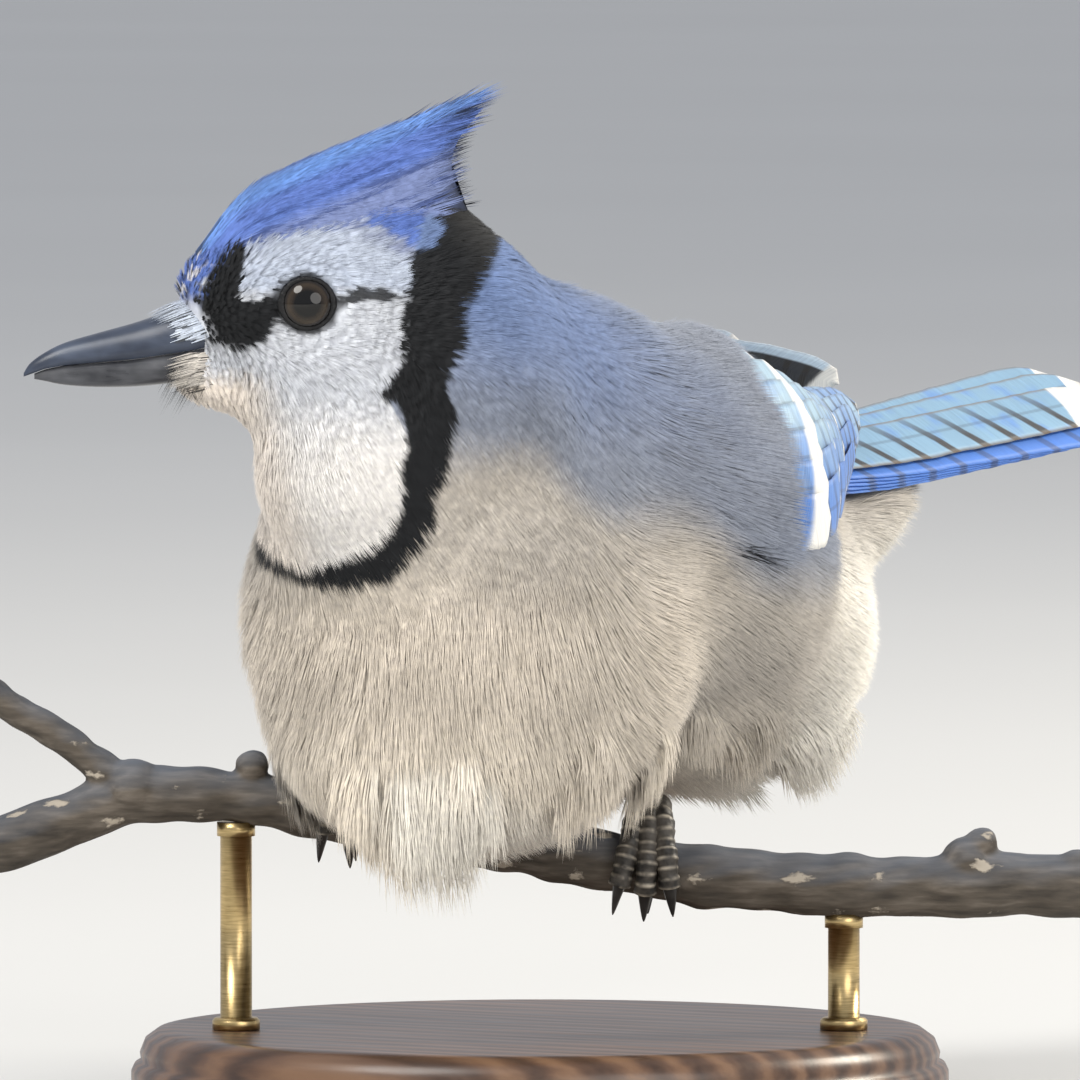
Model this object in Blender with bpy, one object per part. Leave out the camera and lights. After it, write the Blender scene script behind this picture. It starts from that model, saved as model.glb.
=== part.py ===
"""A blue jay on a short cut length of branch, held by a round base and two rods.

Lengths are written in millimetres and multiplied by MM, because the model is in metres.
The body faces -Y, its left side is +X, and the origin is the middle of the base's underside.
"""

import math
from collections import namedtuple

import bmesh
import bpy
from mathutils import Matrix, Vector, noise
from mathutils.bvhtree import BVHTree

MM = 0.001
GAP = 0.3 * MM

# The head and the branch are set out across and along a line 30 degrees off the body's heading.
HEAD_TURN = math.radians(30.0)
ACROSS = Vector((math.cos(HEAD_TURN), math.sin(HEAD_TURN), 0.0))
NEAR = Vector((math.sin(HEAD_TURN), -math.cos(HEAD_TURN), 0.0))
UP = Vector((0.0, 0.0, 1.0))

# The bill points along -ACROSS, and the head's own measures start midway between the eyes.
HEAD_CENTRE = Vector((-12.0, -48.5, 123.8)) * MM
FORWARD = -ACROSS
EYE_SPREAD = 8.9
EYE_RADIUS = 4.7
LID_RING = 4.15
LID_THICKNESS = 0.8
LID_RISE = 2.9

FLESH_VOXEL = 1.5 * MM
HEAD_SMOOTHING = 9
BODY_SMOOTHING = 60
TORSO_TRIANGLES = 1350
NECK_TRIANGLES = 260
HEAD_TRIANGLES = 1050

# A mass is an ellipsoid: centre and radii in mm, and its pitch in degrees, nose up.
Mass = namedtuple("Mass", "name centre radii pitch")
BODY_MASSES = (
    Mass("trunk", (0, 6, 86), (41, 54, 36), 18),
    Mass("breast", (1.5, -23, 76), (38, 33, 38), 0),
    Mass("belly", (0, -31, 59), (29, 23, 20), 0),
    Mass("loin", (0, 20, 76), (37, 38, 29), 0),
    Mass("vent", (0, 44, 71), (32, 30, 28), -4),
    Mass("mantle", (0, -6, 104.5), (33, 37, 22), 24),
    Mass("rump", (0, 38, 89), (26, 35, 19), 6),
    Mass("crissum", (0, 61, 77), (20, 30, 14), -14),
    Mass("undertail", (0, 72, 79.5), (14, 46, 9), -15),
)
# The head's masses are measured forward, to the left and up from the head's centre.
HEAD_MASSES = (
    Mass("skull", (-5, 0, 1), (25, 13.2, 16.5), -14),
    Mass("crown", (-6, 0, 12), (15, 9, 7), -24),
    Mass("forehead", (12, 0, 1), (9, 7, 8.5), 0),
    Mass("cheeks", (-6.5, 0, -11), (19.5, 14.6, 15), 0),
    Mass("chin", (14, 0, -12), (8.5, 6.5, 5), 20),
    Mass("bib", (-12, 0, -25), (21, 19, 17), -10),
    Mass("nape", (-24, 0, -12), (18, 20, 26), -20),
)

# Where the neck is parted from the head and the torso, as two points across and up.
HEAD_CUT = ((-10.6, 138.3), (-45.5, 99.6))
NECK_CUT = ((-5.3, 132.2), (-43.9, 85.2))

# The bill runs from inside the head to its tip: forward, ridge or keel height, half width.
UPPER_BILL = (
    (13.0, 0.2, 4.6), (17.5, -0.6, 5.0), (21.5, -1.8, 4.7), (25.8, -3.3, 4.0), (31.2, -4.8, 3.2),
    (36.3, -6.3, 2.3), (39.4, -7.8, 1.6), (41.6, -9.4, 0.9), (42.6, -10.9, 0.35),
)
LOWER_BILL = (
    (13.0, -11.2, 4.2), (17.5, -12.0, 4.4), (21.5, -12.5, 4.1), (25.8, -12.9, 3.5), (31.2, -13.0, 2.7),
    (36.3, -12.7, 1.7), (39.4, -12.1, 0.9), (41.0, -11.8, 0.4),
)
MOUTH_LINE = (
    (12.0, -6.2), (17.5, -7.4), (25.8, -8.7), (31.2, -9.2), (36.3, -9.7), (39.4, -10.3), (42.6, -11.5),
)

# The branch's middle line, across and up, with its radius.
BRANCH_DEPTH = 5.0
BRANCH_LINE = (
    (-87.5, 38.0, 4.1), (-73.8, 42.8, 4.1), (-63.6, 46.8, 4.3), (-53.5, 47.8, 4.1), (-43.9, 47.1, 4.1),
    (-30.3, 44.4, 4.1), (-16.7, 41.8, 4.2), (0.9, 39.3, 4.4), (16.7, 36.4, 4.6), (31.5, 34.8, 4.7),
    (50.0, 33.7, 4.7), (72.0, 34.0, 4.9), (87.5, 33.6, 4.8),
)
TWIG_LINE = (
    (-88.5, 69.0, 2.2), (-81.8, 62.2, 2.3), (-72.7, 56.5, 2.4), (-65.0, 50.6, 2.8), (-60.5, 47.0, 3.0),
)
BARK_ROUGHNESS = 0.5 * MM
# Knots and buds on the branch: across, up, radius.
KNOTS = ((-43.6, 52.0, 2.6), (64.5, 37.6, 3.8), (66.8, 40.2, 2.6), (-61.5, 48.6, 4.6), (81.0, 36.6, 3.0))

BASE_RADIUS = 62.0 * MM
BASE_THICKNESS = 12.0 * MM
BASE_BEVEL = 3.0 * MM
ROD_RADIUS = 2.4 * MM
ROD_OFFSET = 46.0

# The feet stand on the branch: name, across, and the lean of the toes.
FEET = (("left", 16.7, -8.0), ("right", -29.5, 6.0))
TOE_RADIUS = 1.85
TOE_ARCH = 2.6
TOE_STEPS = 6
CLAW_LENGTH = 5.6
# Each toe: name, where it starts and ends round the branch in degrees, and its spread in mm.
TOES = (("inner", 96.0, -16.0, -3.9), ("middle", 96.0, -26.0, 0.0), ("outer", 96.0, -18.0, 3.7),
        ("hind", 100.0, 200.0, 0.6))

# The crest's feathers run from the crown to its ragged rear edge, in the head's measures:
# root forward and up, tip forward and up, and the number of feathers across.
CREST_ROWS = (
    (8.0, 13.0, -7.0, 23.2, 3), (2.0, 15.0, -15.0, 26.6, 3), (-4.0, 16.5, -27.0, 31.1, 3),
    (-2.0, 13.5, -23.6, 26.6, 2), (-6.0, 11.5, -22.6, 22.4, 3), (-9.0, 8.5, -24.6, 17.6, 3),
)
CREST_CORE = Mass("core", (-8.5, 0, 15.5), (13, 5.0, 6.0), -28)
CREST_SPREAD = 8.0
CREST_FEATHER_WIDTH = 3.3

# Stations of a folded wing: place along the body, then across and up for the upper edge,
# the middle and the lower edge.
WING_LEFT = (
    (-22, (18, 120), (28, 107), (32, 90)), (0, (19, 121.5), (33.5, 109), (38.2, 87)),
    (15, (16, 118), (32, 106), (39.2, 86.5)), (35, (12.5, 111), (26, 104.5), (31.6, 90)),
    (55, (9.5, 106.5), (18.5, 101.5), (21.6, 91)), (72, (8, 105), (12.5, 101.5), (14, 95.5)),
    (86, (7, 104), (9, 102.4), (10, 100)),
)
WING_RIGHT = (
    (-22, (-18, 122), (-28, 109), (-32, 92)), (0, (-19, 123), (-33.5, 110.5), (-38.2, 90)),
    (15, (-16.5, 121), (-32, 109), (-39, 89)), (35, (-12.5, 118), (-25.5, 108.5), (-31.5, 92)),
    (55, (-8, 115), (-16, 107), (-20.5, 95)), (75, (-2.5, 111.3), (-7.5, 106.5), (-10.5, 100.5)),
    (95, (3.6, 105.6), (2.0, 104.2), (0.4, 102.4)),
)
# Tiers of wing feathers, coverts first: count, start along the wing from 0 to 1, end at the upper
# and at the lower edge, half width in mm, and how far the tips stand proud.
WING_TIERS = (
    (6, 0.33, (0.56, 0.52), 4.9, 1.5),
    (7, 0.47, (0.80, 0.68), 4.7, 0.95),
    (4, 0.64, (0.975, 0.86), 3.7, 0.45),
)
WING_CORE_START = 0.12
WING_CORE_END = 0.80
WING_THICKNESS = 6.0

# The tail rises a little towards its tip and is rolled, near side down.
TAIL_BASE = (0.0, 54.0, 92.8)
TAIL_RISE = 0.07
TAIL_LENGTH = 119.0
TAIL_GRADING = 24.0
TAIL_PAIRS = 6
TAIL_SPREAD = 7.0
TAIL_STEP = 0.8
TAIL_SLOPE = 0.12
TAIL_ROLL = math.radians(33.0)
TAIL_FEATHER_WIDTH = 5.6
TAIL_ROOT = Mass("root", (0, 62, 92.5), (8.5, 17, 5.5), 0)

# Loose locks on the underside: across, along and up for the root, with the length in mm.
LOCK_HALF_WIDTH = 5.0
LOCK_THICKNESS = 2.2
BELLY_LOCKS = ((-3, -50, 51, 15), (3, -52, 50, 18), (9, -51, 50, 17), (14, -48, 52, 14))
FLANK_LOCKS = ((29, -34, 54, 12), (34, -16, 53, 12), (34, 2, 51, 13), (32, 19, 49, 13), (28, 36, 48, 13),
               (22, 51, 50, 14))
VENT_LOCKS = ((8, 62, 55, 14), (-7, 63, 54, 14), (0, 50, 47, 13))

Finish = namedtuple("Finish", "colour roughness metallic")
FINISHES = {
    "grey_down": Finish((0.46, 0.43, 0.42), 0.85, 0.0),
    "violet_blue": Finish((0.20, 0.24, 0.42), 0.8, 0.0),
    "face_white": Finish((0.62, 0.62, 0.66), 0.85, 0.0),
    "wing_blue": Finish((0.13, 0.30, 0.62), 0.6, 0.0),
    "tail_blue": Finish((0.12, 0.33, 0.72), 0.55, 0.0),
    "collar_black": Finish((0.02, 0.02, 0.025), 0.8, 0.0),
    "bill_black": Finish((0.035, 0.045, 0.065), 0.3, 0.0),
    "eye_brown": Finish((0.02, 0.012, 0.008), 0.05, 0.0),
    "leg_black": Finish((0.05, 0.045, 0.04), 0.5, 0.0),
    "bark": Finish((0.16, 0.125, 0.10), 0.9, 0.0),
    "turned_wood": Finish((0.10, 0.05, 0.025), 0.4, 0.0),
    "brushed_brass": Finish((0.55, 0.42, 0.2), 0.35, 1.0),
}


def remove_everything():
    """Start from an empty scene."""
    for item in list(bpy.data.objects):
        bpy.data.objects.remove(item, do_unlink=True)


def finish_material(name):
    """Return the material for a finish, made once."""
    material = bpy.data.materials.get(name)
    if material:
        return material
    finish = FINISHES[name]
    material = bpy.data.materials.new(name)
    material.use_nodes = True
    shader = material.node_tree.nodes["Principled BSDF"]
    shader.inputs["Base Color"].default_value = (*finish.colour, 1.0)
    shader.inputs["Roughness"].default_value = finish.roughness
    shader.inputs["Metallic"].default_value = finish.metallic
    return material


def make_object(name, mesh_edit, finish):
    """Turn a bmesh into a named object with its material."""
    mesh = bpy.data.meshes.new(name)
    bmesh.ops.recalc_face_normals(mesh_edit, faces=mesh_edit.faces)
    mesh_edit.to_mesh(mesh)
    mesh_edit.free()
    item = bpy.data.objects.new(name, mesh)
    bpy.context.scene.collection.objects.link(item)
    mesh.materials.append(finish_material(finish))
    return item


def apply_modifier(item, kind, **settings):
    """Add one modifier, keep its result as the object's mesh, and drop the modifier."""
    modifier = item.modifiers.new(kind.lower(), kind)
    for key, value in settings.items():
        setattr(modifier, key, value)
    graph = bpy.context.evaluated_depsgraph_get()
    mesh = bpy.data.meshes.new_from_object(item.evaluated_get(graph))
    item.modifiers.clear()
    old = item.data
    item.data = mesh
    bpy.data.meshes.remove(old)
    return item


def triangle_count(item):
    """Count the triangles of an object's mesh."""
    item.data.calc_loop_triangles()
    return len(item.data.loop_triangles)


def decimate(item, triangles):
    """Collapse edges until about this many triangles are left."""
    ratio = min(1.0, triangles / triangle_count(item))
    return apply_modifier(item, "DECIMATE", ratio=ratio)


def keep_largest(item):
    """Keep only the largest closed surface of a mesh."""
    mesh_edit = bmesh.new()
    mesh_edit.from_mesh(item.data)
    bmesh.ops.triangulate(mesh_edit, faces=mesh_edit.faces)
    unseen = set(mesh_edit.verts)
    shells = []
    while unseen:
        seed = unseen.pop()
        shell = [seed]
        stack = [seed]
        while stack:
            for edge in stack.pop().link_edges:
                for vert in edge.verts:
                    if vert in unseen:
                        unseen.discard(vert)
                        shell.append(vert)
                        stack.append(vert)
        shells.append(shell)
    largest = max(shells, key=len)
    for shell in shells:
        if shell is not largest:
            bmesh.ops.delete(mesh_edit, geom=shell, context="VERTS")
    mesh_edit.to_mesh(item.data)
    mesh_edit.free()
    return item


def fuse(item, pieces, solver="MANIFOLD"):
    """Join pieces to an object by one union, and remove the pieces."""
    group = bpy.data.collections.new(item.name + "_pieces")
    bpy.context.scene.collection.children.link(group)
    for piece in pieces:
        group.objects.link(piece)
    apply_modifier(item, "BOOLEAN", operation="UNION", operand_type="COLLECTION", collection=group,
                   solver=solver)
    for piece in pieces:
        bpy.data.objects.remove(piece, do_unlink=True)
    bpy.data.collections.remove(group)
    return keep_largest(item)


def carve(item, cutter, solver="MANIFOLD"):
    """Cut one object by another and leave the cutter as it is."""
    apply_modifier(item, "BOOLEAN", operation="DIFFERENCE", object=cutter, solver=solver)
    return keep_largest(item)


def swollen_copy(item, distance):
    """Copy an object with every point moved outwards along its normal."""
    mesh_edit = bmesh.new()
    mesh_edit.from_mesh(item.data)
    mesh_edit.normal_update()
    shifts = [vert.normal * distance for vert in mesh_edit.verts]
    for vert, shift in zip(mesh_edit.verts, shifts):
        vert.co += shift
    return make_object(item.name + "_room", mesh_edit, "bark")


def head_point(forward, left, up):
    """Place a point measured in mm from the head's centre."""
    return HEAD_CENTRE + (FORWARD * forward + NEAR * left + UP * up) * MM


def scene_point(across, near, height):
    """Place a point in mm across and along the line of the turned head, above the floor."""
    return (ACROSS * across + NEAR * near + UP * height) * MM


def body_matrix(mass):
    """Return the matrix that turns a unit sphere into one of the body's masses."""
    place = Matrix.Translation(Vector(mass.centre) * MM)
    turn = Matrix.Rotation(-math.radians(mass.pitch), 4, "X")
    return place @ turn @ Matrix.Diagonal((*[radius * MM for radius in mass.radii], 1.0))


def head_matrix(mass):
    """Return the matrix that turns a unit sphere into one of the head's masses."""
    axes = Matrix((FORWARD, NEAR, UP)).transposed().to_4x4()
    place = Matrix.Translation(head_point(*mass.centre))
    turn = Matrix.Rotation(-math.radians(mass.pitch), 4, "Y")
    return place @ axes @ turn @ Matrix.Diagonal((*[radius * MM for radius in mass.radii], 1.0))


def flesh():
    """Blend all the masses into one smooth body."""
    mesh_edit = bmesh.new()
    matrices = [body_matrix(mass) for mass in BODY_MASSES]
    matrices += [head_matrix(mass) for mass in HEAD_MASSES]
    for matrix in matrices:
        bmesh.ops.create_uvsphere(mesh_edit, u_segments=32, v_segments=16, radius=1.0, matrix=matrix)
    body = make_object("flesh", mesh_edit, "grey_down")
    apply_modifier(body, "REMESH", mode="VOXEL", voxel_size=FLESH_VOXEL)
    apply_modifier(body, "SMOOTH", factor=0.5, iterations=HEAD_SMOOTHING)
    start, normal = cut_plane(NECK_CUT)
    group = body.vertex_groups.new(name="below_the_neck")
    for vert in body.data.vertices:
        depth = (vert.co - start).dot(normal) / MM
        group.add([vert.index], min(1.0, max(0.0, 0.5 + depth / 16.0)), "REPLACE")
    apply_modifier(body, "SMOOTH", factor=0.5, iterations=BODY_SMOOTHING, vertex_group=group.name)
    return body


def part_by_planes(body, name, finish, planes):
    """Copy the part of a body that lies on the inner side of each plane, with its cuts closed."""
    mesh_edit = bmesh.new()
    mesh_edit.from_mesh(body.data)
    for point, normal in planes:
        every = mesh_edit.verts[:] + mesh_edit.edges[:] + mesh_edit.faces[:]
        cut = bmesh.ops.bisect_plane(mesh_edit, geom=every, plane_co=point, plane_no=normal, dist=1e-7,
                                     clear_outer=True)
        rim = [element for element in cut["geom_cut"] if isinstance(element, bmesh.types.BMEdge)]
        bmesh.ops.edgeloop_fill(mesh_edit, edges=rim)
    bmesh.ops.triangulate(mesh_edit, faces=mesh_edit.faces)
    return make_object(name, mesh_edit, finish)


def cut_plane(line):
    """Return a point on a cut and its normal, which points from the head towards the torso."""
    start = scene_point(line[0][0], 0.0, line[0][1])
    end = scene_point(line[1][0], 0.0, line[1][1])
    normal = (end - start).cross(NEAR).normalized()
    if normal.z > 0.0:
        normal.negate()
    return start, normal


def part_body(body):
    """Divide the smooth body into torso, neck and head."""
    head_start, head_normal = cut_plane(HEAD_CUT)
    neck_start, neck_normal = cut_plane(NECK_CUT)
    half = GAP / 2.0
    torso = part_by_planes(body, "torso", "grey_down",
                           [(neck_start + neck_normal * half, -neck_normal)])
    neck = part_by_planes(body, "neck", "collar_black",
                          [(neck_start - neck_normal * half, neck_normal),
                           (head_start + head_normal * half, -head_normal)])
    head = part_by_planes(body, "head", "face_white", [(head_start - head_normal * half, head_normal)])
    bpy.data.objects.remove(body, do_unlink=True)
    decimate(torso, TORSO_TRIANGLES)
    decimate(neck, NECK_TRIANGLES)
    decimate(head, HEAD_TRIANGLES)
    return torso, neck, head


def loft(mesh_edit, rings):
    """Join rings of points of equal number into one closed body with flat ends."""
    rows = [[mesh_edit.verts.new(point) for point in ring] for ring in rings]
    count = len(rows[0])
    for row, following in zip(rows, rows[1:]):
        for step in range(count):
            other = (step + 1) % count
            mesh_edit.faces.new((row[step], row[other], following[other], following[step]))
    mesh_edit.faces.new(rows[0][::-1])
    mesh_edit.faces.new(rows[-1])
    bmesh.ops.triangulate(mesh_edit, faces=mesh_edit.faces)
    bmesh.ops.recalc_face_normals(mesh_edit, faces=mesh_edit.faces)


def tube(name, points, radii, finish, sides=8, start=None, end=None):
    """Build a tube of changing radius along a line of points, with flat ends."""
    mesh_edit = bmesh.new()
    rings = []
    side = None
    for step, point in enumerate(points):
        before = points[max(step - 1, 0)]
        after = points[min(step + 1, len(points) - 1)]
        along = (after - before).normalized()
        if side is None:
            side = along.orthogonal().normalized()
        side = (side - along * side.dot(along)).normalized()
        other = along.cross(side)
        turns = [math.tau * corner / sides for corner in range(sides)]
        rings.append([point + (side * math.cos(turn) + other * math.sin(turn)) * radii[step]
                      for turn in turns])
    loft(mesh_edit, rings)
    return make_object(name, mesh_edit, finish)


def read_line(line, place):
    """Read the values of a line of stations at a place between them."""
    for first, second in zip(line, line[1:]):
        if place <= second[0]:
            part = (place - first[0]) / (second[0] - first[0])
            return [a + (b - a) * part for a, b in zip(first[1:], second[1:])]
    return list(line[-1][1:])


def bill(name, stations, arch, grow=0.0):
    """Build one half of the bill; arch is 1 for the upper half and -1 for the lower."""
    mesh_edit = bmesh.new()
    rings = []
    for step, (forward, edge, half_width) in enumerate(stations):
        shift = -grow if step == 0 else (grow if step == len(stations) - 1 else 0.0)
        mouth = read_line(MOUTH_LINE, forward)[0] + arch * GAP / MM / 2.0
        flat = mouth - arch * grow
        height = abs(edge - mouth) + 2.0 * grow
        wide = half_width + grow
        ring = []
        for turn in (0, 30, 60, 90, 120, 150, 180):
            angle = math.radians(turn)
            rise = height * math.sin(angle) ** 0.9
            ring.append(head_point(forward + shift, wide * math.cos(angle), flat + arch * rise))
        ring.append(head_point(forward + shift, -wide * 0.5, flat))
        ring.append(head_point(forward + shift, wide * 0.5, flat))
        rings.append(ring)
    loft(mesh_edit, rings)
    return make_object(name, mesh_edit, "bill_black")


def sphere(name, centre, radius, finish, segments, rings, axis=UP):
    """Build a sphere whose poles lie on an axis."""
    mesh_edit = bmesh.new()
    turn = axis.to_track_quat("Z", "Y").to_matrix().to_4x4()
    bmesh.ops.create_uvsphere(mesh_edit, u_segments=segments, v_segments=rings, radius=radius,
                              matrix=Matrix.Translation(centre) @ turn)
    return make_object(name, mesh_edit, finish)


def lid_ring(side):
    """Build the swollen rim of the lids round one eye."""
    centre = head_point(0.0, side * (EYE_SPREAD + LID_RISE), 0.0)
    steps = 12
    corners = 5
    points = []
    for step in range(steps):
        turn = math.tau * step / steps
        offset = FORWARD * math.cos(turn) + UP * math.sin(turn) * 0.94
        points.append(centre + offset * LID_RING * MM)
    mesh_edit = bmesh.new()
    rows = []
    for point in points:
        outward = (point - centre).normalized()
        row = []
        for corner in range(corners):
            angle = math.tau * corner / corners
            offset = outward * math.cos(angle) + NEAR * math.sin(angle)
            row.append(mesh_edit.verts.new(point + offset * LID_THICKNESS * MM))
        rows.append(row)
    for step in range(steps):
        following = rows[(step + 1) % steps]
        for corner in range(corners):
            other = (corner + 1) % corners
            mesh_edit.faces.new((rows[step][corner], rows[step][other], following[other],
                                 following[corner]))
    bmesh.ops.triangulate(mesh_edit, faces=mesh_edit.faces)
    return make_object("lid", mesh_edit, "collar_black")


def dress_head(head):
    """Add the lids, and make room for the eyes and the bill."""
    fuse(head, [lid_ring(1), lid_ring(-1)])
    for side, name in ((1, "eye_left"), (-1, "eye_right")):
        centre = head_point(0.0, side * EYE_SPREAD, 0.0)
        socket = sphere("socket", centre, EYE_RADIUS * MM + GAP, "eye_brown", 12, 8, axis=NEAR * side)
        carve(head, socket)
        bpy.data.objects.remove(socket, do_unlink=True)
        sphere(name, centre, EYE_RADIUS * MM, "eye_brown", 12, 8, axis=NEAR * side)
    room = GAP / MM
    for name, stations, arch in (("bill_upper", UPPER_BILL, 1), ("bill_lower", LOWER_BILL, -1)):
        cutter = bill("bill_room", stations, arch, room)
        carve(head, cutter)
        bpy.data.objects.remove(cutter, do_unlink=True)
        bill(name, stations, arch)
    return head


def smooth_line(line, pieces):
    """Read points and radii from a smooth curve through the line's own points."""
    points = []
    radii = []
    last = len(line) - 1
    for step in range(pieces + 1):
        place = last * step / pieces
        index = min(int(place), last - 1)
        part = place - index
        four = [Vector(line[max(0, min(last, index + shift))]) for shift in (-1, 0, 1, 2)]
        value = 0.5 * (2 * four[1] + (four[2] - four[0]) * part
                       + (2 * four[0] - 5 * four[1] + 4 * four[2] - four[3]) * part ** 2
                       + (3 * four[1] - four[0] - 3 * four[2] + four[3]) * part ** 3)
        points.append(scene_point(value.x, BRANCH_DEPTH, value.y))
        radii.append(value.z * MM)
    return points, radii


def rough(item, amount, scale, seed):
    """Move the points of a mesh in and out a little."""
    mesh_edit = bmesh.new()
    mesh_edit.from_mesh(item.data)
    mesh_edit.normal_update()
    shifts = [vert.normal * amount * noise.noise(vert.co * scale + Vector((seed, 0.0, 0.0)))
              for vert in mesh_edit.verts]
    for vert, shift in zip(mesh_edit.verts, shifts):
        vert.co += shift
    mesh_edit.to_mesh(item.data)
    mesh_edit.free()


def perch():
    """Build the cut length of branch with its twig, knots and bud."""
    points, radii = smooth_line(BRANCH_LINE, 27)
    branch = tube("perch", points, radii, "bark", sides=9)
    points, radii = smooth_line(TWIG_LINE, 7)
    pieces = [tube("twig", points, radii, "bark", sides=7)]
    for across, height, radius in KNOTS:
        centre = scene_point(across, BRANCH_DEPTH + 0.6, height)
        pieces.append(sphere("knot", centre, radius * MM, "bark", 8, 6, axis=NEAR))
    fuse(branch, pieces)
    rough(branch, BARK_ROUGHNESS, 120.0, 3.0)
    return branch


def perch_room():
    """Build the smooth tube that keeps the body's feathers clear of the branch."""
    points, radii = smooth_line(BRANCH_LINE, 12)
    return tube("perch_room", points, [radius + BARK_ROUGHNESS + GAP for radius in radii], "bark")


def feather(points, normals, widths, thicknesses):
    """Build one closed vane with a ridge along its shaft on both faces and a pointed tip."""
    mesh_edit = bmesh.new()
    rows = []
    for step, (point, normal, width, thickness) in enumerate(zip(points, normals, widths, thicknesses)):
        before = points[max(step - 1, 0)]
        after = points[min(step + 1, len(points) - 1)]
        side = (after - before).cross(normal).normalized()
        lift = side.cross((after - before).normalized()) * thickness / 2.0
        rows.append([mesh_edit.verts.new(place) for place in
                     (point - side * width, point + lift, point + side * width, point - lift)])
    tip = mesh_edit.verts.new(points[-1] + (points[-1] - points[-2]).normalized() * widths[-1] * 0.9)
    for row, following in zip(rows, rows[1:]):
        for corner in range(4):
            other = (corner + 1) % 4
            if corner % 2 == 0:
                mesh_edit.faces.new((row[corner], row[other], following[other]))
                mesh_edit.faces.new((row[corner], following[other], following[corner]))
            else:
                mesh_edit.faces.new((row[corner], row[other], following[corner]))
                mesh_edit.faces.new((row[other], following[other], following[corner]))
    for corner in range(4):
        mesh_edit.faces.new((rows[-1][corner], rows[-1][(corner + 1) % 4], tip))
    mesh_edit.faces.new(rows[0][:3])
    mesh_edit.faces.new((rows[0][0], rows[0][2], rows[0][3]))
    return make_object("feather", mesh_edit, "wing_blue")


def outline_share(share, rounding=0.28):
    """Return a vane's width at a share of its length: narrow root, full middle, round tip."""
    root = min(1.0, 0.45 + share / 0.45 * 0.55)
    tip = min(1.0, max(0.0, (1.0 - share) / rounding))
    return root * max(0.34, math.sqrt(max(0.0, 1.0 - (1.0 - tip) ** 2)))


def smooth_step(share):
    """Ease from 0 to 1."""
    share = min(1.0, max(0.0, share))
    return share * share * (3.0 - 2.0 * share)


def wing_place(stations, along, down):
    """Return a point of a folded wing's outer sheet; along and down run from 0 to 1."""
    reach = stations[0][0] + (stations[-1][0] - stations[0][0]) * along
    flat = [(row[0], *row[1], *row[2], *row[3]) for row in stations]
    last = len(flat) - 1
    index = max(step for step in range(last) if step == 0 or flat[step][0] <= reach)
    part = (reach - flat[index][0]) / (flat[index + 1][0] - flat[index][0])
    four = [flat[max(0, min(last, index + shift))] for shift in (-1, 0, 1, 2)]
    values = [0.5 * (2 * b + (c - a) * part + (2 * a - 5 * b + 4 * c - d) * part ** 2
                     + (3 * b - a - 3 * c + d) * part ** 3) for a, b, c, d in zip(*four)]
    edge = Vector((values[1], 0.0, values[2]))
    middle = Vector((values[3], 0.0, values[4]))
    lower = Vector((values[5], 0.0, values[6]))
    first = (1.0 - down) * (1.0 - 2.0 * down)
    second = 4.0 * down * (1.0 - down)
    third = down * (2.0 * down - 1.0)
    place = edge * first + middle * second + lower * third
    return Vector((place.x, reach, place.z)) * MM


def wing_frame(stations, along, down, side):
    """Return a point of the wing's sheet and the direction that faces away from the body."""
    point = wing_place(stations, along, down)
    behind = wing_place(stations, max(0.0, along - 0.02), down)
    ahead = wing_place(stations, min(1.0, along + 0.02), down) - behind
    above = wing_place(stations, along, max(0.0, down - 0.05))
    below = wing_place(stations, along, min(1.0, down + 0.05)) - above
    normal = (ahead.cross(below) * -side).normalized()
    emerge = -3.4 + 4.0 * smooth_step((along - 0.25 + 0.06 * down) / 0.14)
    return point + normal * emerge * MM, normal


def wing_core(name, stations, side):
    """Build the slab that carries a wing's feathers."""
    mesh_edit = bmesh.new()
    rings = []
    columns = 8
    for step in range(columns + 1):
        along = WING_CORE_START + (WING_CORE_END - WING_CORE_START) * step / columns
        thickness = (WING_THICKNESS * (1.0 - smooth_step((along - 0.35) / 0.4)) + 1.3) * MM
        outer = []
        inner = []
        for down in (0.02, 0.2, 0.4, 0.6, 0.8, 0.98):
            point, normal = wing_frame(stations, along, down, side)
            outer.append(point)
            inner.append(point - normal * thickness)
        rings.append(outer + inner[::-1])
    loft(mesh_edit, rings)
    return make_object(name, mesh_edit, "wing_blue")


def wing(name, stations, side):
    """Build one folded wing: its core and three tiers of overlapping feathers."""
    item = wing_core(name, stations, side)
    pieces = []
    steps = 3
    for count, start, ends, half_width, proud in WING_TIERS:
        for number in range(count):
            down = (number + 0.5) / count
            end = ends[0] + (ends[1] - ends[0]) * down ** 1.3
            points = []
            normals = []
            for step in range(steps + 1):
                share = step / steps
                along = start + (end - start) * share
                point, normal = wing_frame(stations, along, down, side)
                lift = -0.7 + (proud + 0.7 + 0.17 * (number % 2)) * smooth_step(share * 1.25)
                points.append(point + normal * lift * MM)
                normals.append(normal)
            widths = [half_width * outline_share(step / steps) * MM for step in range(steps + 1)]
            thicknesses = [(1.1 - 0.5 * step / steps) * MM for step in range(steps + 1)]
            pieces.append(feather(points, normals, widths, thicknesses))
    return fuse(item, pieces)


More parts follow.
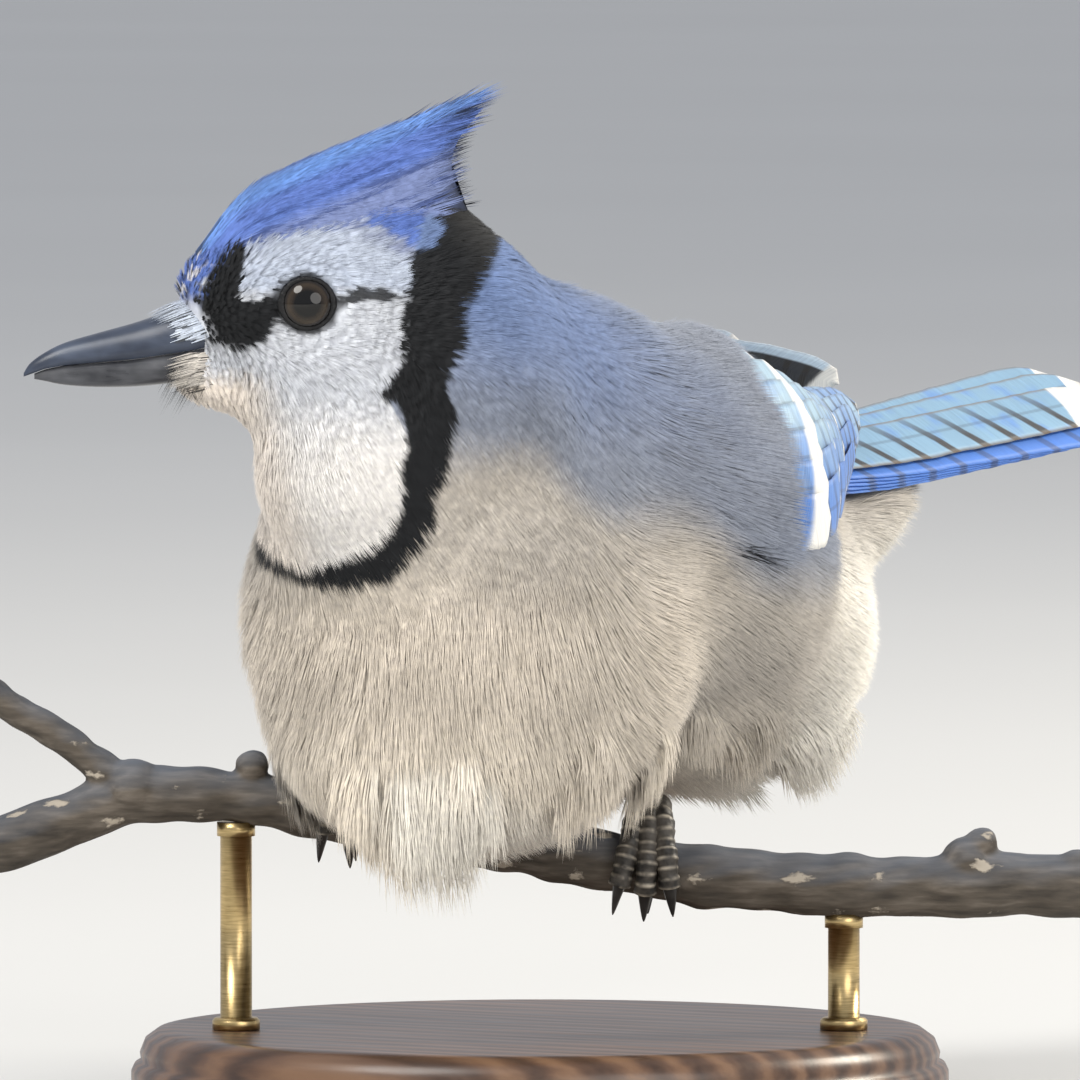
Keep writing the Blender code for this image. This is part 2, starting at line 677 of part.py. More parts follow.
def tail_feather(number, side):
    """Build one of the tail's twelve feathers; number 0 is the middle pair."""
    steps = 5
    length = TAIL_LENGTH - TAIL_GRADING * (number / (TAIL_PAIRS - 1)) ** 1.35
    points = []
    normals = []
    widths = []
    thicknesses = []
    for step in range(steps + 1):
        share = step / steps
        reach = TAIL_BASE[1] + length * share
        near_tip = 1.6 + (TAIL_SPREAD - 1.6) * number / (TAIL_PAIRS - 1)
        across = side * ((1.0 + 0.7 * number) * (1.0 - share) + near_tip * share)
        stack = -TAIL_STEP * (number + (0.5 if side < 0 else 0.0)) - TAIL_SLOPE * abs(across) + 2.0
        roll = TAIL_ROLL * (0.45 + 0.55 * smooth_step(share * 2.0))
        turned = Vector((across * math.cos(roll) + stack * math.sin(roll), 0.0,
                         stack * math.cos(roll) - across * math.sin(roll)))
        middle = Vector((TAIL_BASE[0], reach, TAIL_BASE[2] + TAIL_RISE * length * share))
        points.append((middle + turned) * MM)
        normals.append(Vector((math.sin(roll), 0.0, math.cos(roll))))
        widths.append((TAIL_FEATHER_WIDTH - 0.2 * number) * outline_share(0.25 + 0.75 * share, 0.12)
                      * MM)
        thicknesses.append((0.95 - 0.35 * share) * MM)
    return feather(points, normals, widths, thicknesses)


def tail():
    """Build the tail: a root that carries twelve feathers."""
    mesh_edit = bmesh.new()
    bmesh.ops.create_uvsphere(mesh_edit, u_segments=14, v_segments=8, radius=1.0,
                              matrix=body_matrix(TAIL_ROOT))
    item = make_object("tail", mesh_edit, "tail_blue")
    pieces = [tail_feather(number, side) for number in range(TAIL_PAIRS) for side in (1, -1)]
    return fuse(item, pieces)


def crest(room):
    """Build the crest feather by feather over a low core, and fit it to the head."""
    mesh_edit = bmesh.new()
    bmesh.ops.create_uvsphere(mesh_edit, u_segments=14, v_segments=8, radius=1.0,
                              matrix=head_matrix(CREST_CORE))
    item = make_object("crest", mesh_edit, "violet_blue")
    pieces = []
    steps = 3
    for root_a, root_b, tip_a, tip_b, count in CREST_ROWS:
        for number in range(count):
            across = (number - (count - 1) / 2.0) / ((count - 1) / 2.0)
            lean = across * math.radians(58.0)
            points = []
            normals = []
            for step in range(steps + 1):
                share = step / steps
                forward = root_a + (tip_a - root_a) * share
                height = root_b + (tip_b - root_b) * share + 1.1 * math.sin(math.pi * share)
                left = across * CREST_SPREAD * ((1.0 - share) * 0.72 + share * 0.28)
                drop = abs(across) * (1.6 + 1.2 * (1.0 - share))
                points.append(head_point(forward + abs(across) * 1.5 * share, left, height - drop))
                rise = (FORWARD * (tip_b - root_b) - UP * (tip_a - root_a)).normalized()
                normals.append((rise * math.cos(lean) + NEAR * math.sin(lean)).normalized())
            widths = [CREST_FEATHER_WIDTH * (1.0 - 0.72 * (step / steps) ** 1.6) * MM
                      for step in range(steps + 1)]
            thicknesses = [(1.1 - 0.6 * step / steps) * MM for step in range(steps + 1)]
            pieces.append(feather(points, normals, widths, thicknesses))
    fuse(item, pieces)
    return carve(item, room)


def toe_points(across, lean, toe, grow=0.0):
    """Return the line of one toe round the branch."""
    _, start, end, spread = toe
    height, radius = read_line(BRANCH_LINE, across)
    centre = scene_point(across, BRANCH_DEPTH, height)
    points = []
    for step in range(TOE_STEPS + 1):
        share = step / TOE_STEPS
        angle = math.radians(start + (end - start) * share)
        arch = TOE_ARCH * (1.0 - smooth_step(share * 1.6))
        distance = (radius + TOE_RADIUS + 0.35 + arch) * MM
        offset = (spread * (0.35 + 0.65 * share) + lean * 0.1 * share) * MM
        points.append(centre + (NEAR * math.cos(angle) + UP * math.sin(angle)) * distance + ACROSS * offset)
    points[-1] += (points[-1] - points[-2]).normalized() * grow
    return points


def foot(side, across, lean, grow=0.0):
    """Build one leg's tarsus with its four toes."""
    height, radius = read_line(BRANCH_LINE, across)
    top = height + radius
    behind = BRANCH_DEPTH - 1.0
    start = scene_point(across, behind, top + 3.4)
    knee = scene_point(across + 0.5, behind - 3.5, top + 13.0 + grow / MM)
    shank = [start + (knee - start) * share for share in (0.0, 0.3, 0.65, 1.0)]
    radii = [2.1 * MM, 1.65 * MM, 1.6 * MM, 1.9 * MM]
    item = tube("leg_" + side, shank, [value + grow for value in radii], "leg_black", sides=8)
    pieces = [sphere("pad", scene_point(across, BRANCH_DEPTH - 0.3, top + 3.6), 2.7 * MM + grow,
                     "leg_black", 8, 6)]
    for toe in TOES:
        points = toe_points(across, lean, toe, grow)
        swell = [TOE_RADIUS * (1.06 - 0.16 * step / TOE_STEPS + 0.07 * (step % 2)) * MM + grow
                 for step in range(TOE_STEPS + 1)]
        pieces.append(tube("toe", points, swell, "leg_black", sides=6))
    return fuse(item, pieces)


def claws(side, across, lean):
    """Build the four claws of one foot, each just off the end of its toe."""
    for toe in TOES:
        points = toe_points(across, lean, toe)
        along = (points[-1] - points[-2]).normalized()
        inward = (NEAR if toe[0] != "hind" else -NEAR) * -0.35
        start = points[-1] + along * GAP
        line = []
        radii = []
        steps = 4
        for step in range(steps + 1):
            share = step / steps
            bend = (along * share + (inward - UP * 0.25) * share ** 2 * 0.55) * CLAW_LENGTH * MM
            line.append(start + bend)
            radii.append((1.15 * (1.0 - share) ** 0.8 + 0.14) * MM)
        tube("claw_" + side + "_" + toe[0], line, radii, "bill_black", sides=5)


def lock(tree, root, length):
    """Build one flat tapered lock that leaves the body's surface and hangs down and back."""
    place, normal, _, _ = tree.find_nearest(Vector(root) * MM)
    rear = min(1.0, max(0.0, (root[1] + 40.0) / 90.0))
    lie = Vector((0.0, 0.15 + 0.95 * rear, -1.0 + 0.55 * rear))
    flow = (lie - normal * lie.dot(normal)).normalized()
    steps = 3
    points = []
    for step in range(steps + 1):
        share = step / steps
        lift = normal * (-1.9 + 2.9 * math.sqrt(share)) - UP * 1.2 * share ** 2
        points.append(place + (flow * length * (share - 0.3) + lift) * MM)
    widths = [LOCK_HALF_WIDTH * (1.0 - 0.72 * (step / steps) ** 1.8) * MM for step in range(steps + 1)]
    thicknesses = [(LOCK_THICKNESS - 1.3 * step / steps) * MM for step in range(steps + 1)]
    return feather(points, [normal] * (steps + 1), widths, thicknesses)


def locks(torso):
    """Add the tapered locks of loose feathers along the belly, the flanks and the vent."""
    mesh_edit = bmesh.new()
    mesh_edit.from_mesh(torso.data)
    tree = BVHTree.FromBMesh(mesh_edit)
    mesh_edit.free()
    pieces = []
    for across, along, height, length in BELLY_LOCKS + VENT_LOCKS:
        pieces.append(lock(tree, (across, along, height), length))
    for across, along, height, length in FLANK_LOCKS:
        for side in (1, -1):
            pieces.append(lock(tree, (side * across, along, height), length))
    return fuse(torso, pieces)


def stand():
    """Build the round base and the two rods that hold the branch."""
    mesh_edit = bmesh.new()
    bmesh.ops.create_cone(mesh_edit, cap_ends=True, segments=40, radius1=BASE_RADIUS, radius2=BASE_RADIUS,
                          depth=BASE_THICKNESS,
                          matrix=Matrix.Translation((0.0, 0.0, BASE_THICKNESS / 2.0)))
    rim = [edge for edge in mesh_edit.edges
           if all(vert.co.z > BASE_THICKNESS * 0.9 for vert in edge.verts)]
    bmesh.ops.bevel(mesh_edit, geom=rim, offset=BASE_BEVEL, segments=2, profile=0.5, affect="EDGES")
    make_object("stand_base", mesh_edit, "turned_wood")
    for name, across in (("stand_rod_left", ROD_OFFSET), ("stand_rod_right", -ROD_OFFSET)):
        height, radius = read_line(BRANCH_LINE, across)
        foot = scene_point(across, BRANCH_DEPTH, 0.0)
        bottom = BASE_THICKNESS + GAP
        top = (height - radius) * MM - 2.0 * GAP
        points = [Vector((foot.x, foot.y, level)) for level in (bottom, top)]
        tube(name, points, [ROD_RADIUS] * 2, "brushed_brass", sides=16)


def main():
    """Build every sub-part in order."""
    remove_everything()
    torso, neck, head = part_body(flesh())
    rooms = [swollen_copy(torso, GAP), swollen_copy(head, GAP)]
    for name, stations, side in (("wing_left", WING_LEFT, 1), ("wing_right", WING_RIGHT, -1)):
        carve(wing(name, stations, side), rooms[0])
    carve(tail(), rooms[0])
    crest(rooms[1])
    locks(torso)
    dress_head(head)
    rooms.append(swollen_copy(perch(), GAP))
    for side, across, lean in FEET:
        carve(foot(side, across, lean), rooms[2])
        claws(side, across, lean)
        room = foot(side + "_room", across, lean, 1.6 * GAP)
        carve(torso, room)
        bpy.data.objects.remove(room, do_unlink=True)
    rooms.append(perch_room())
    carve(torso, rooms[3])
    for room in rooms:
        bpy.data.objects.remove(room, do_unlink=True)
    stand()


main()
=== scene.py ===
"""A blue jay on a perch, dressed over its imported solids.

Lengths are written in millimetres and turned into metres where a mesh is made.
The bird's body faces -Y, its left side is +X, and the head is turned towards -X.
"""

from __future__ import annotations

import logging
import math
from collections.abc import Callable, Sequence
from dataclasses import dataclass, field, fields
from enum import Enum

import bmesh
import bpy
import numpy as np
from mathutils import Matrix, Vector
from mathutils.bvhtree import BVHTree


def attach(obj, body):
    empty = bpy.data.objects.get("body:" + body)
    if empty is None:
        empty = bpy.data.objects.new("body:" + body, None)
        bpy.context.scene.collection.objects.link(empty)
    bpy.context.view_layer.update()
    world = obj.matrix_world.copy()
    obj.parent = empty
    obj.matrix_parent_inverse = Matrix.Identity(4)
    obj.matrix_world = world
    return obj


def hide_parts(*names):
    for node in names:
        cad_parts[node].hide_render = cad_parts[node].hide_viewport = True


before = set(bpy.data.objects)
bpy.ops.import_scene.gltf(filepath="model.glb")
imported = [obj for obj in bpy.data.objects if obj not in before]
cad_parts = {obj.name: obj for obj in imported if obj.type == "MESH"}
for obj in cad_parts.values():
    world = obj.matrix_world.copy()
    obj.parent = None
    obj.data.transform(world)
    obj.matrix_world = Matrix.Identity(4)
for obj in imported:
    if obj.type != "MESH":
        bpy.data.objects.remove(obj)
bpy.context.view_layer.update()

LOG = logging.getLogger("blue_jay")
Array = np.ndarray
Random = np.random.Generator
Colour = tuple[float, float, float]
Item = bpy.types.Object
Material = bpy.types.Material
Socket = bpy.types.NodeSocket
MM = 0.001
SEED = 20
BODY = "root"

# Numbers of a colour Mix node's sockets: share, first and second colour, and the result.
MIX_SHARE = 0
MIX_FIRST = 6
MIX_SECOND = 7
MIX_COLOUR = 2

TURN = math.radians(30.0)
ACROSS = np.array((math.cos(TURN), math.sin(TURN), 0.0))
NEAR = np.array((math.sin(TURN), -math.cos(TURN), 0.0))
UP = np.array((0.0, 0.0, 1.0))
HEAD_CENTRE = np.array((-12.0, -48.5, 123.8))
EYE_SPREAD = 8.9
EYE_RADIUS = 4.7

# Masses of flesh and feathers: centre and radii in mm and the pitch in degrees, nose up.
BODY_MASSES = (
    ((0, 6, 86), (41, 54, 36), 18), ((1.5, -23, 76), (38, 33, 38), 0), ((0, -31, 59), (29, 23, 20), 0),
    ((0, 20, 76), (37, 38, 29), 0), ((0, 44, 71), (32, 30, 28), -4), ((0, -6, 104.5), (33, 37, 22), 24),
    ((0, 38, 89), (26, 35, 19), 6), ((0, 61, 77), (20, 30, 14), -14), ((0, 72, 79.5), (14, 46, 9), -15),
)
HEAD_MASSES = (
    ((-5, 0, 1), (25, 13.2, 16.5), -14), ((-6, 0, 12), (15, 9, 7), -24), ((12, 0, 1), (9, 7, 8.5), 0),
    ((-6.5, 0, -11), (19.5, 14.6, 15), 0), ((14, 0, -12), (8.5, 6.5, 5), 20),
    ((-12, 0, -25), (21, 19, 17), -10), ((-24, 0, -12), (18, 20, 26), -20),
)

# Outlines of the head's markings, forward and up from the middle of the head.
COLLAR = np.array((
    (-16.3, 13.1), (-18.7, 14.0), (-20.4, 11.0), (-18.7, 8.2), (-15.5, 7.8), (-15.7, 4.6), (-14.7, 0.8),
    (-14.0, -1.8), (-14.4, -5.2), (-14.7, -8.2), (-12.7, -11.1), (-11.2, -12.8), (-10.6, -14.3),
    (-13.4, -14.8), (-14.7, -17.5), (-14.9, -20.9), (-13.6, -23.9), (-14.2, -27.3), (-14.0, -30.3),
    (-12.3, -33.3), (-9.8, -36.2), (-5.9, -37.9), (-1.7, -39.6), (1.7, -40.1), (5.1, -38.8), (7.3, -36.2),
    (11.0, -34.5), (11.0, -37.5), (6.8, -39.9), (4.3, -41.1), (0.0, -42.3), (-4.2, -42.8), (-8.5, -41.9),
    (-11.9, -41.1), (-14.0, -38.9), (-17.0, -36.0), (-19.1, -32.6), (-18.4, -28.6), (-20.4, -26.0),
    (-21.2, -23.0), (-21.7, -19.6), (-22.5, -16.7), (-21.2, -14.1), (-20.8, -11.6), (-22.5, -8.6),
    (-24.0, -5.2), (-23.4, -1.8), (-24.2, 0.3), (-26.6, 3.8), (-28.2, 8.0), (-28.2, 16.3), (-22.0, 15.3),
))
FACE = np.array((
    (-30.0, 40.0), (-18.0, 14.5), (-16.3, 10.0), (-15.2, 1.0), (-15.6, -8.2), (-12.0, -14.0), (-15.6, -20.9),
    (-14.6, -31.0), (-9.8, -37.4), (0.0, -41.0), (7.3, -37.2), (12.0, -34.0), (60.0, -34.0), (60.0, 40.0),
))
LORE = np.array((
    (9.6, 9.9), (11.5, 8.4), (12.8, 6.5), (14.3, 3.8), (15.3, 1.4), (17.0, -0.1), (15.8, -2.2),
    (14.6, -3.7), (14.4, -5.6), (10.9, -6.9), (8.5, -6.5), (6.8, -5.2), (5.6, -3.5), (4.3, -1.8),
    (4.1, 1.6), (6.8, -0.1), (8.5, -0.5), (10.7, 0.6), (10.6, 2.9), (9.9, 6.3),
))
CROWN = np.array((
    (-26.0, 44.0), (-21.5, 13.0), (-20.4, 10.6), (-17.5, 8.0), (-15.0, 9.4), (-11.5, 11.0), (-7.0, 12.6),
    (-1.5, 13.2), (3.5, 12.9), (7.4, 11.2), (10.8, 9.3), (13.0, 6.6), (14.6, 3.2), (16.4, 0.6),
    (18.8, 1.0), (24.5, 5.0), (18.0, 30.0),
))
EYE_LINE = np.array((
    (-4.0, 1.0), (-8.0, 2.2), (-12.5, 1.9), (-15.5, 0.9), (-12.5, 0.6), (-8.0, 0.6), (-4.0, -1.0),
))

# The wings' sheets, from shoulder to tip: place along the body, then the upper edge, middle and lower edge.
WING_LEFT = (
    (-22, (18, 120), (28, 107), (32, 90)), (0, (19, 121.5), (33.5, 109), (38.2, 87)),
    (15, (16, 118), (32, 106), (39.2, 86.5)), (35, (12.5, 111), (26, 104.5), (31.6, 90)),
    (55, (9.5, 106.5), (18.5, 101.5), (21.6, 91)), (72, (8, 105), (12.5, 101.5), (14, 95.5)),
    (86, (7, 104), (9, 102.4), (10, 100)),
)
WING_RIGHT = (
    (-22, (-18, 122), (-28, 109), (-32, 92)), (0, (-19, 123), (-33.5, 110.5), (-38.2, 90)),
    (15, (-16.5, 121), (-32, 109), (-39, 89)), (35, (-12.5, 118), (-25.5, 108.5), (-31.5, 92)),
    (55, (-8, 115), (-16, 107), (-20.5, 95)), (75, (-2.5, 111.3), (-7.5, 106.5), (-10.5, 100.5)),
    (95, (3.6, 105.6), (2.0, 104.2), (0.4, 102.4)),
)

# The branch and its twig, across the head's line: place, height and radius.
BRANCH_DEPTH = 5.0
BRANCH_LINE = (
    (-87.5, 38.0, 4.1), (-73.8, 42.8, 4.1), (-63.6, 46.8, 4.3), (-53.5, 47.8, 4.1), (-43.9, 47.1, 4.1),
    (-30.3, 44.4, 4.1), (-16.7, 41.8, 4.2), (0.9, 39.3, 4.4), (16.7, 36.4, 4.6), (31.5, 34.8, 4.7),
    (50.0, 33.7, 4.7), (72.0, 34.0, 4.9), (87.5, 33.6, 4.8),
)
TWIG_LINE = (
    (-88.5, 69.0, 2.2), (-81.8, 62.2, 2.3), (-72.7, 56.5, 2.4), (-65.0, 50.6, 2.8), (-60.5, 47.0, 3.0),
)


def ease(value: Array | float) -> Array | float:
    """Ease from 0 to 1, and stay there outside."""
    value = np.clip(value, 0.0, 1.0)
    return value * value * (3.0 - 2.0 * value)


def unit(vectors: Array) -> Array:
    """Scale vectors to length one."""
    return vectors / np.maximum(np.linalg.norm(vectors, axis=-1, keepdims=True), 1e-12)


def along_surface(vectors: Array, normals: Array) -> Array:
    """Turn vectors into directions along a surface."""
    return unit(vectors - normals * np.sum(vectors * normals, axis=-1, keepdims=True))


def blend(first: Array, second: Array | Sequence[float], share: Array) -> Array:
    """Blend two colours or directions by a share for each row."""
    return first + (np.asarray(second) - first) * np.asarray(share)[..., None]


def head_point(forward: float, left: float, up: float) -> Array:
    """Place a point measured from the head's centre, in mm."""
    return HEAD_CENTRE - ACROSS * forward + NEAR * left + UP * up


def scene_point(across: float, near: float, height: float) -> Array:
    """Place a point across and along the line of the turned head, in mm."""
    return ACROSS * across + NEAR * near + UP * height


def inside_by(outline: Array, across: Array, up: Array) -> Array:
    """Measure how far points lie inside an outline.

    Args:
        outline: Corners of the outline.
        across: First measure of each point.
        up: Second measure of each point.

    Returns:
        The distance to the outline's edge in mm, negative outside.
    """
    inside = np.zeros(len(across), bool)
    best = np.full(len(across), 1e9)
    for (x0, y0), (x1, y1) in zip(outline, np.roll(outline, -1, axis=0)):
        run = x1 - x0
        rise = y1 - y0
        share = np.clip(((across - x0) * run + (up - y0) * rise) / (run * run + rise * rise), 0.0, 1.0)
        best = np.minimum(best, (across - x0 - share * run) ** 2 + (up - y0 - share * rise) ** 2)
        if abs(rise) > 1e-9:
            crossed = across < x0 + (up - y0) * run / rise
            inside ^= ((y0 > up) != (y1 > up)) & crossed
    return np.where(inside, 1.0, -1.0) * np.sqrt(best)


def mottle(points: Array, scale: float, seed: float) -> Array:
    """Give smooth noise at points, about -1 to 1.

    Args:
        points: Places in mm.
        scale: Size of a patch in mm.
        seed: Shift that makes one pattern unlike another.

    Returns:
        One value for each point.
    """
    turns = np.array(((1.0, 0.62, 0.31), (-0.43, 1.0, 0.57), (0.36, -0.71, 1.0), (0.9, 0.4, -0.8)))
    total = np.zeros(len(points))
    for number, turn in enumerate(turns):
        wave = points @ turn / scale * (1.0 + 0.37 * number) + seed * (number + 1.7)
        total += np.sin(wave + 1.3 * np.sin(points @ np.roll(turn, 1) / scale * 0.8 + seed))
    return total / 2.6


def bend_weights(share: Array | float) -> tuple[Array | float, Array | float, Array | float]:
    """Return the weights of a bend's start, middle and end at shares of its way."""
    return (1 - share) * (1 - 2 * share), 4 * share * (1 - share), share * (2 * share - 1)


def strand_faces(rows: int) -> Array:
    """Return the triangles of a closed three-sided strand with a pointed tip.

    Args:
        rows: Number of its rings of three corners, before the tip.

    Returns:
        Corner numbers, ring after ring and the tip last.
    """
    faces = [(1, 2, 0)]
    for row in range(rows - 1):
        for corner in range(3):
            first = row * 3 + corner
            other = row * 3 + (corner + 1) % 3
            faces += [(first, other + 3, other), (first, first + 3, other + 3)]
    last = (rows - 1) * 3
    faces += [(last + (corner + 1) % 3, last + corner, rows * 3) for corner in range(3)]
    return np.array(faces)


class Finish(Enum):
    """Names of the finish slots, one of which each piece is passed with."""

    BODY = "body_feathers"
    CREST = "crest_feathers"
    WING = "wing_feathers"
    TAIL = "tail_feathers"
    BILL = "bill"
    EYE = "eye"
    LEG = "leg_skin"
    CLAW = "claw"
    BARK = "bark"
    WOOD = "base_wood"
    BRASS = "rod_metal"


class Tree:
    """Draws a node tree in few lines. Where it takes a value, a socket is linked and others are set."""

    def __init__(self, tree: bpy.types.NodeTree) -> None:
        """Start with a tree."""
        self.tree = tree

    def put(self, target: Socket, value: object) -> None:
        """Link a value's socket to an input, or set the input."""
        if isinstance(value, Socket):
            self.tree.links.new(value, target)
        elif target.type == "RGBA":
            target.default_value = (*value, 1.0)
        else:
            target.default_value = value

    def add(self, kind: str, inputs: dict | None = None, **settings: object) -> bpy.types.Node:
        """Add a node.

        Args:
            kind: Its type.
            inputs: Values for its inputs, by name or number.
            settings: Values for its properties.

        Returns:
            The node.
        """
        node = self.tree.nodes.new(kind)
        for key, value in settings.items():
            setattr(node, key, value)
        for key, value in (inputs or {}).items():
            self.put(node.inputs[key], value)
        return node

    def place(self) -> Socket:
        """Return the Object coordinates."""
        return self.add("ShaderNodeTexCoord").outputs["Object"]

    def attribute(self, name: str) -> bpy.types.Node:
        """Return the node that reads an attribute of the mesh."""
        return self.add("ShaderNodeAttribute", attribute_name=name)

    def noise(self, vector: Socket, scale: float, detail: float = 4.0) -> Socket:
        """Return noise over a vector."""
        inputs = {"Vector": vector, "Scale": scale, "Detail": detail}
        return self.add("ShaderNodeTexNoise", inputs).outputs["Fac"]

    def stretch(self, vector: Socket, scale: Sequence[float], turn: float = 0.0) -> Socket:
        """Scale a vector after a turn about the upright."""
        inputs = {"Vector": vector, "Scale": scale, "Rotation": (0.0, 0.0, turn)}
        return self.add("ShaderNodeMapping", inputs).outputs["Vector"]

    def ramp(self, value: Socket, stops: Sequence[tuple[float, Sequence[float]]]) -> Socket:
        """Turn a value into colours."""
        node = self.add("ShaderNodeValToRGB", {"Fac": value})
        band = node.color_ramp
        band.elements[0].position = stops[0][0]
        band.elements[1].position = stops[-1][0]
        for position, _ in stops[1:-1]:
            band.elements.new(position)
        for element, (_, colour) in zip(band.elements, stops):
            element.color = (*colour[:3], 1.0)
        return node.outputs["Color"]

    def mix(self, share: object, first: object, second: object, kind: str = "MIX") -> Socket:
        """Mix two colours by a share."""
        inputs = {MIX_SHARE: share, MIX_FIRST: first, MIX_SECOND: second}
        return self.add("ShaderNodeMix", inputs, data_type="RGBA", blend_type=kind).outputs[MIX_COLOUR]

    def math(self, kind: str, *values: object) -> Socket:
        """Work out one value from others."""
        return self.add("ShaderNodeMath", dict(enumerate(values)), operation=kind).outputs[0]

    def times(self, first: object, second: object) -> Socket:
        """Multiply two values."""
        return self.math("MULTIPLY", first, second)

    def line(self, value: object, slope: object, level: object) -> Socket:
        """Multiply a value and add a level to it."""
        return self.math("MULTIPLY_ADD", value, slope, level)

    def band(self, value: Socket, start: object, end: object, kind: str = "LINEAR") -> Socket:
        """Return a mask that rises from 0 to 1 while a value goes from start to end."""
        inputs = dict(enumerate((value, start, end)))
        return self.add("ShaderNodeMapRange", inputs, interpolation_type=kind).outputs[0]

    def split(self, vector: Socket) -> bpy.types.NodeOutputs:
        """Return a vector's three parts."""
        return self.add("ShaderNodeSeparateXYZ", {0: vector}).outputs


@dataclass(frozen=True)
class SharedGroup:
    """A node group that several materials place, each with its own values.

    inputs and output hold names and types of sockets, and draw joins them.
    """

    name: str
    inputs: dict[str, str]
    output: dict[str, str]
    draw: Callable[[Tree, bpy.types.NodeOutputs], Socket]

    def tree(self) -> bpy.types.ShaderNodeTree:
        """Return the group's tree, which is drawn on its first use."""
        tree = bpy.data.node_groups.get(self.name)
        if tree is None:
            tree = bpy.data.node_groups.new(self.name, "ShaderNodeTree")
            for side, sockets in (("INPUT", self.inputs), ("OUTPUT", self.output)):
                for name, kind in sockets.items():
                    tree.interface.new_socket(name=name, in_out=side, socket_type="NodeSocket" + kind)
            nodes = Tree(tree)
            result = self.draw(nodes, nodes.add("NodeGroupInput").outputs)
            nodes.add("NodeGroupOutput", {0: result})
        return tree


def draw_grain(nodes: Tree, given: bpy.types.NodeOutputs) -> Socket:
    """Draw noise out along one direction, for bark, wood, brass and horn."""
    inputs = {"Vector": given["Place"], "Scale": given["Fineness"], "Rotation": given["Turn"]}
    turned = nodes.add("ShaderNodeMapping", inputs)
    return nodes.noise(turned.outputs["Vector"], 1.0, given["Detail"])


def shade_barbs(nodes: Tree, given: bpy.types.NodeOutputs) -> Socket:
    """Lay darker and lighter barbs over a colour, for body feathers and vanes."""
    share = nodes.band(given["Grain"], given["Darkest"], given["Lightest"])
    tones = nodes.ramp(share, ((0.0, (0.75, 0.75, 0.77)), (1.0, (1.13, 1.13, 1.11))))
    return nodes.mix(1.0, given["Colour"], tones, "MULTIPLY")


DRAWN_GRAIN = SharedGroup(
    "drawn_grain", {"Place": "Vector", "Turn": "Vector", "Fineness": "Vector", "Detail": "Float"},
    {"Grain": "Float"}, draw_grain,
)
BARB_SHADE = SharedGroup(
    "barb_shade", {"Colour": "Color", "Grain": "Float", "Darkest": "Float", "Lightest": "Float"},
    {"Shaded": "Color"}, shade_barbs,
)


class Nodes(Tree):
    """Draws one material's nodes round its Principled shader."""

    def __init__(self, name: str, roughness: float, metallic: float = 0.0) -> None:
        """Make a material with its Principled shader.

        Args:
            name: Name of the material.
            roughness: Roughness over the whole surface.
            metallic: Metallic share over the whole surface.
        """
        self.material = bpy.data.materials.new(name)
        self.material.use_nodes = True
        super().__init__(self.material.node_tree)
        self.shader = self.tree.nodes["Principled BSDF"]
        self.fix(Roughness=roughness, Metallic=metallic)

    def fix(self, **values: object) -> None:
        """Give values to the shader's own sockets, named with low lines for spaces."""
        for name, value in values.items():
            self.put(self.shader.inputs[name.replace("_", " ")], value)

    def group(self, shared: SharedGroup, **values: object) -> Socket:
        """Place a shared group with values for its inputs, and return its one output."""
        return self.add("ShaderNodeGroup", values, node_tree=shared.tree()).outputs[0]

    def drawn(self, place: Socket, fineness: Sequence[float], detail: float, turn: float = 0.0) -> Socket:
        """Return grain drawn out along one direction."""
        return self.group(DRAWN_GRAIN, Place=place, Turn=(0.0, 0.0, turn), Fineness=fineness, Detail=detail)

    def bump(self, height: Socket, strength: float, distance: float) -> None:
        """Raise the surface by a height."""
        inputs = {"Strength": strength, "Distance": distance, "Height": height}
        self.fix(Normal=self.add("ShaderNodeBump", inputs).outputs["Normal"])

    def colour(self, source: Socket) -> None:
        """Set the base colour."""
        self.fix(Base_Color=source)

    def rough(self, source: Socket) -> None:
        """Set the roughness from a value."""
        self.fix(Roughness=source)


@dataclass(frozen=True)
class PlumageFinish:
    """Soft feathers whose colour comes from the mesh."""

    name: str = "plumage"
    roughness: float = 0.72
    sheen: float = 0.12
    grain: float = 900.0

    def material(self) -> Material:
        """Build the material."""
        nodes = Nodes(self.name, self.roughness)
        nodes.fix(Sheen_Weight=self.sheen, Sheen_Roughness=0.5, Specular_IOR_Level=0.3)
        base = nodes.attribute("markings").outputs["Color"]
        grain = nodes.noise(nodes.place(), self.grain, 3.0)
        nodes.colour(nodes.group(BARB_SHADE, Colour=base, Grain=grain, Darkest=0.206, Lightest=0.765))
        return nodes.material


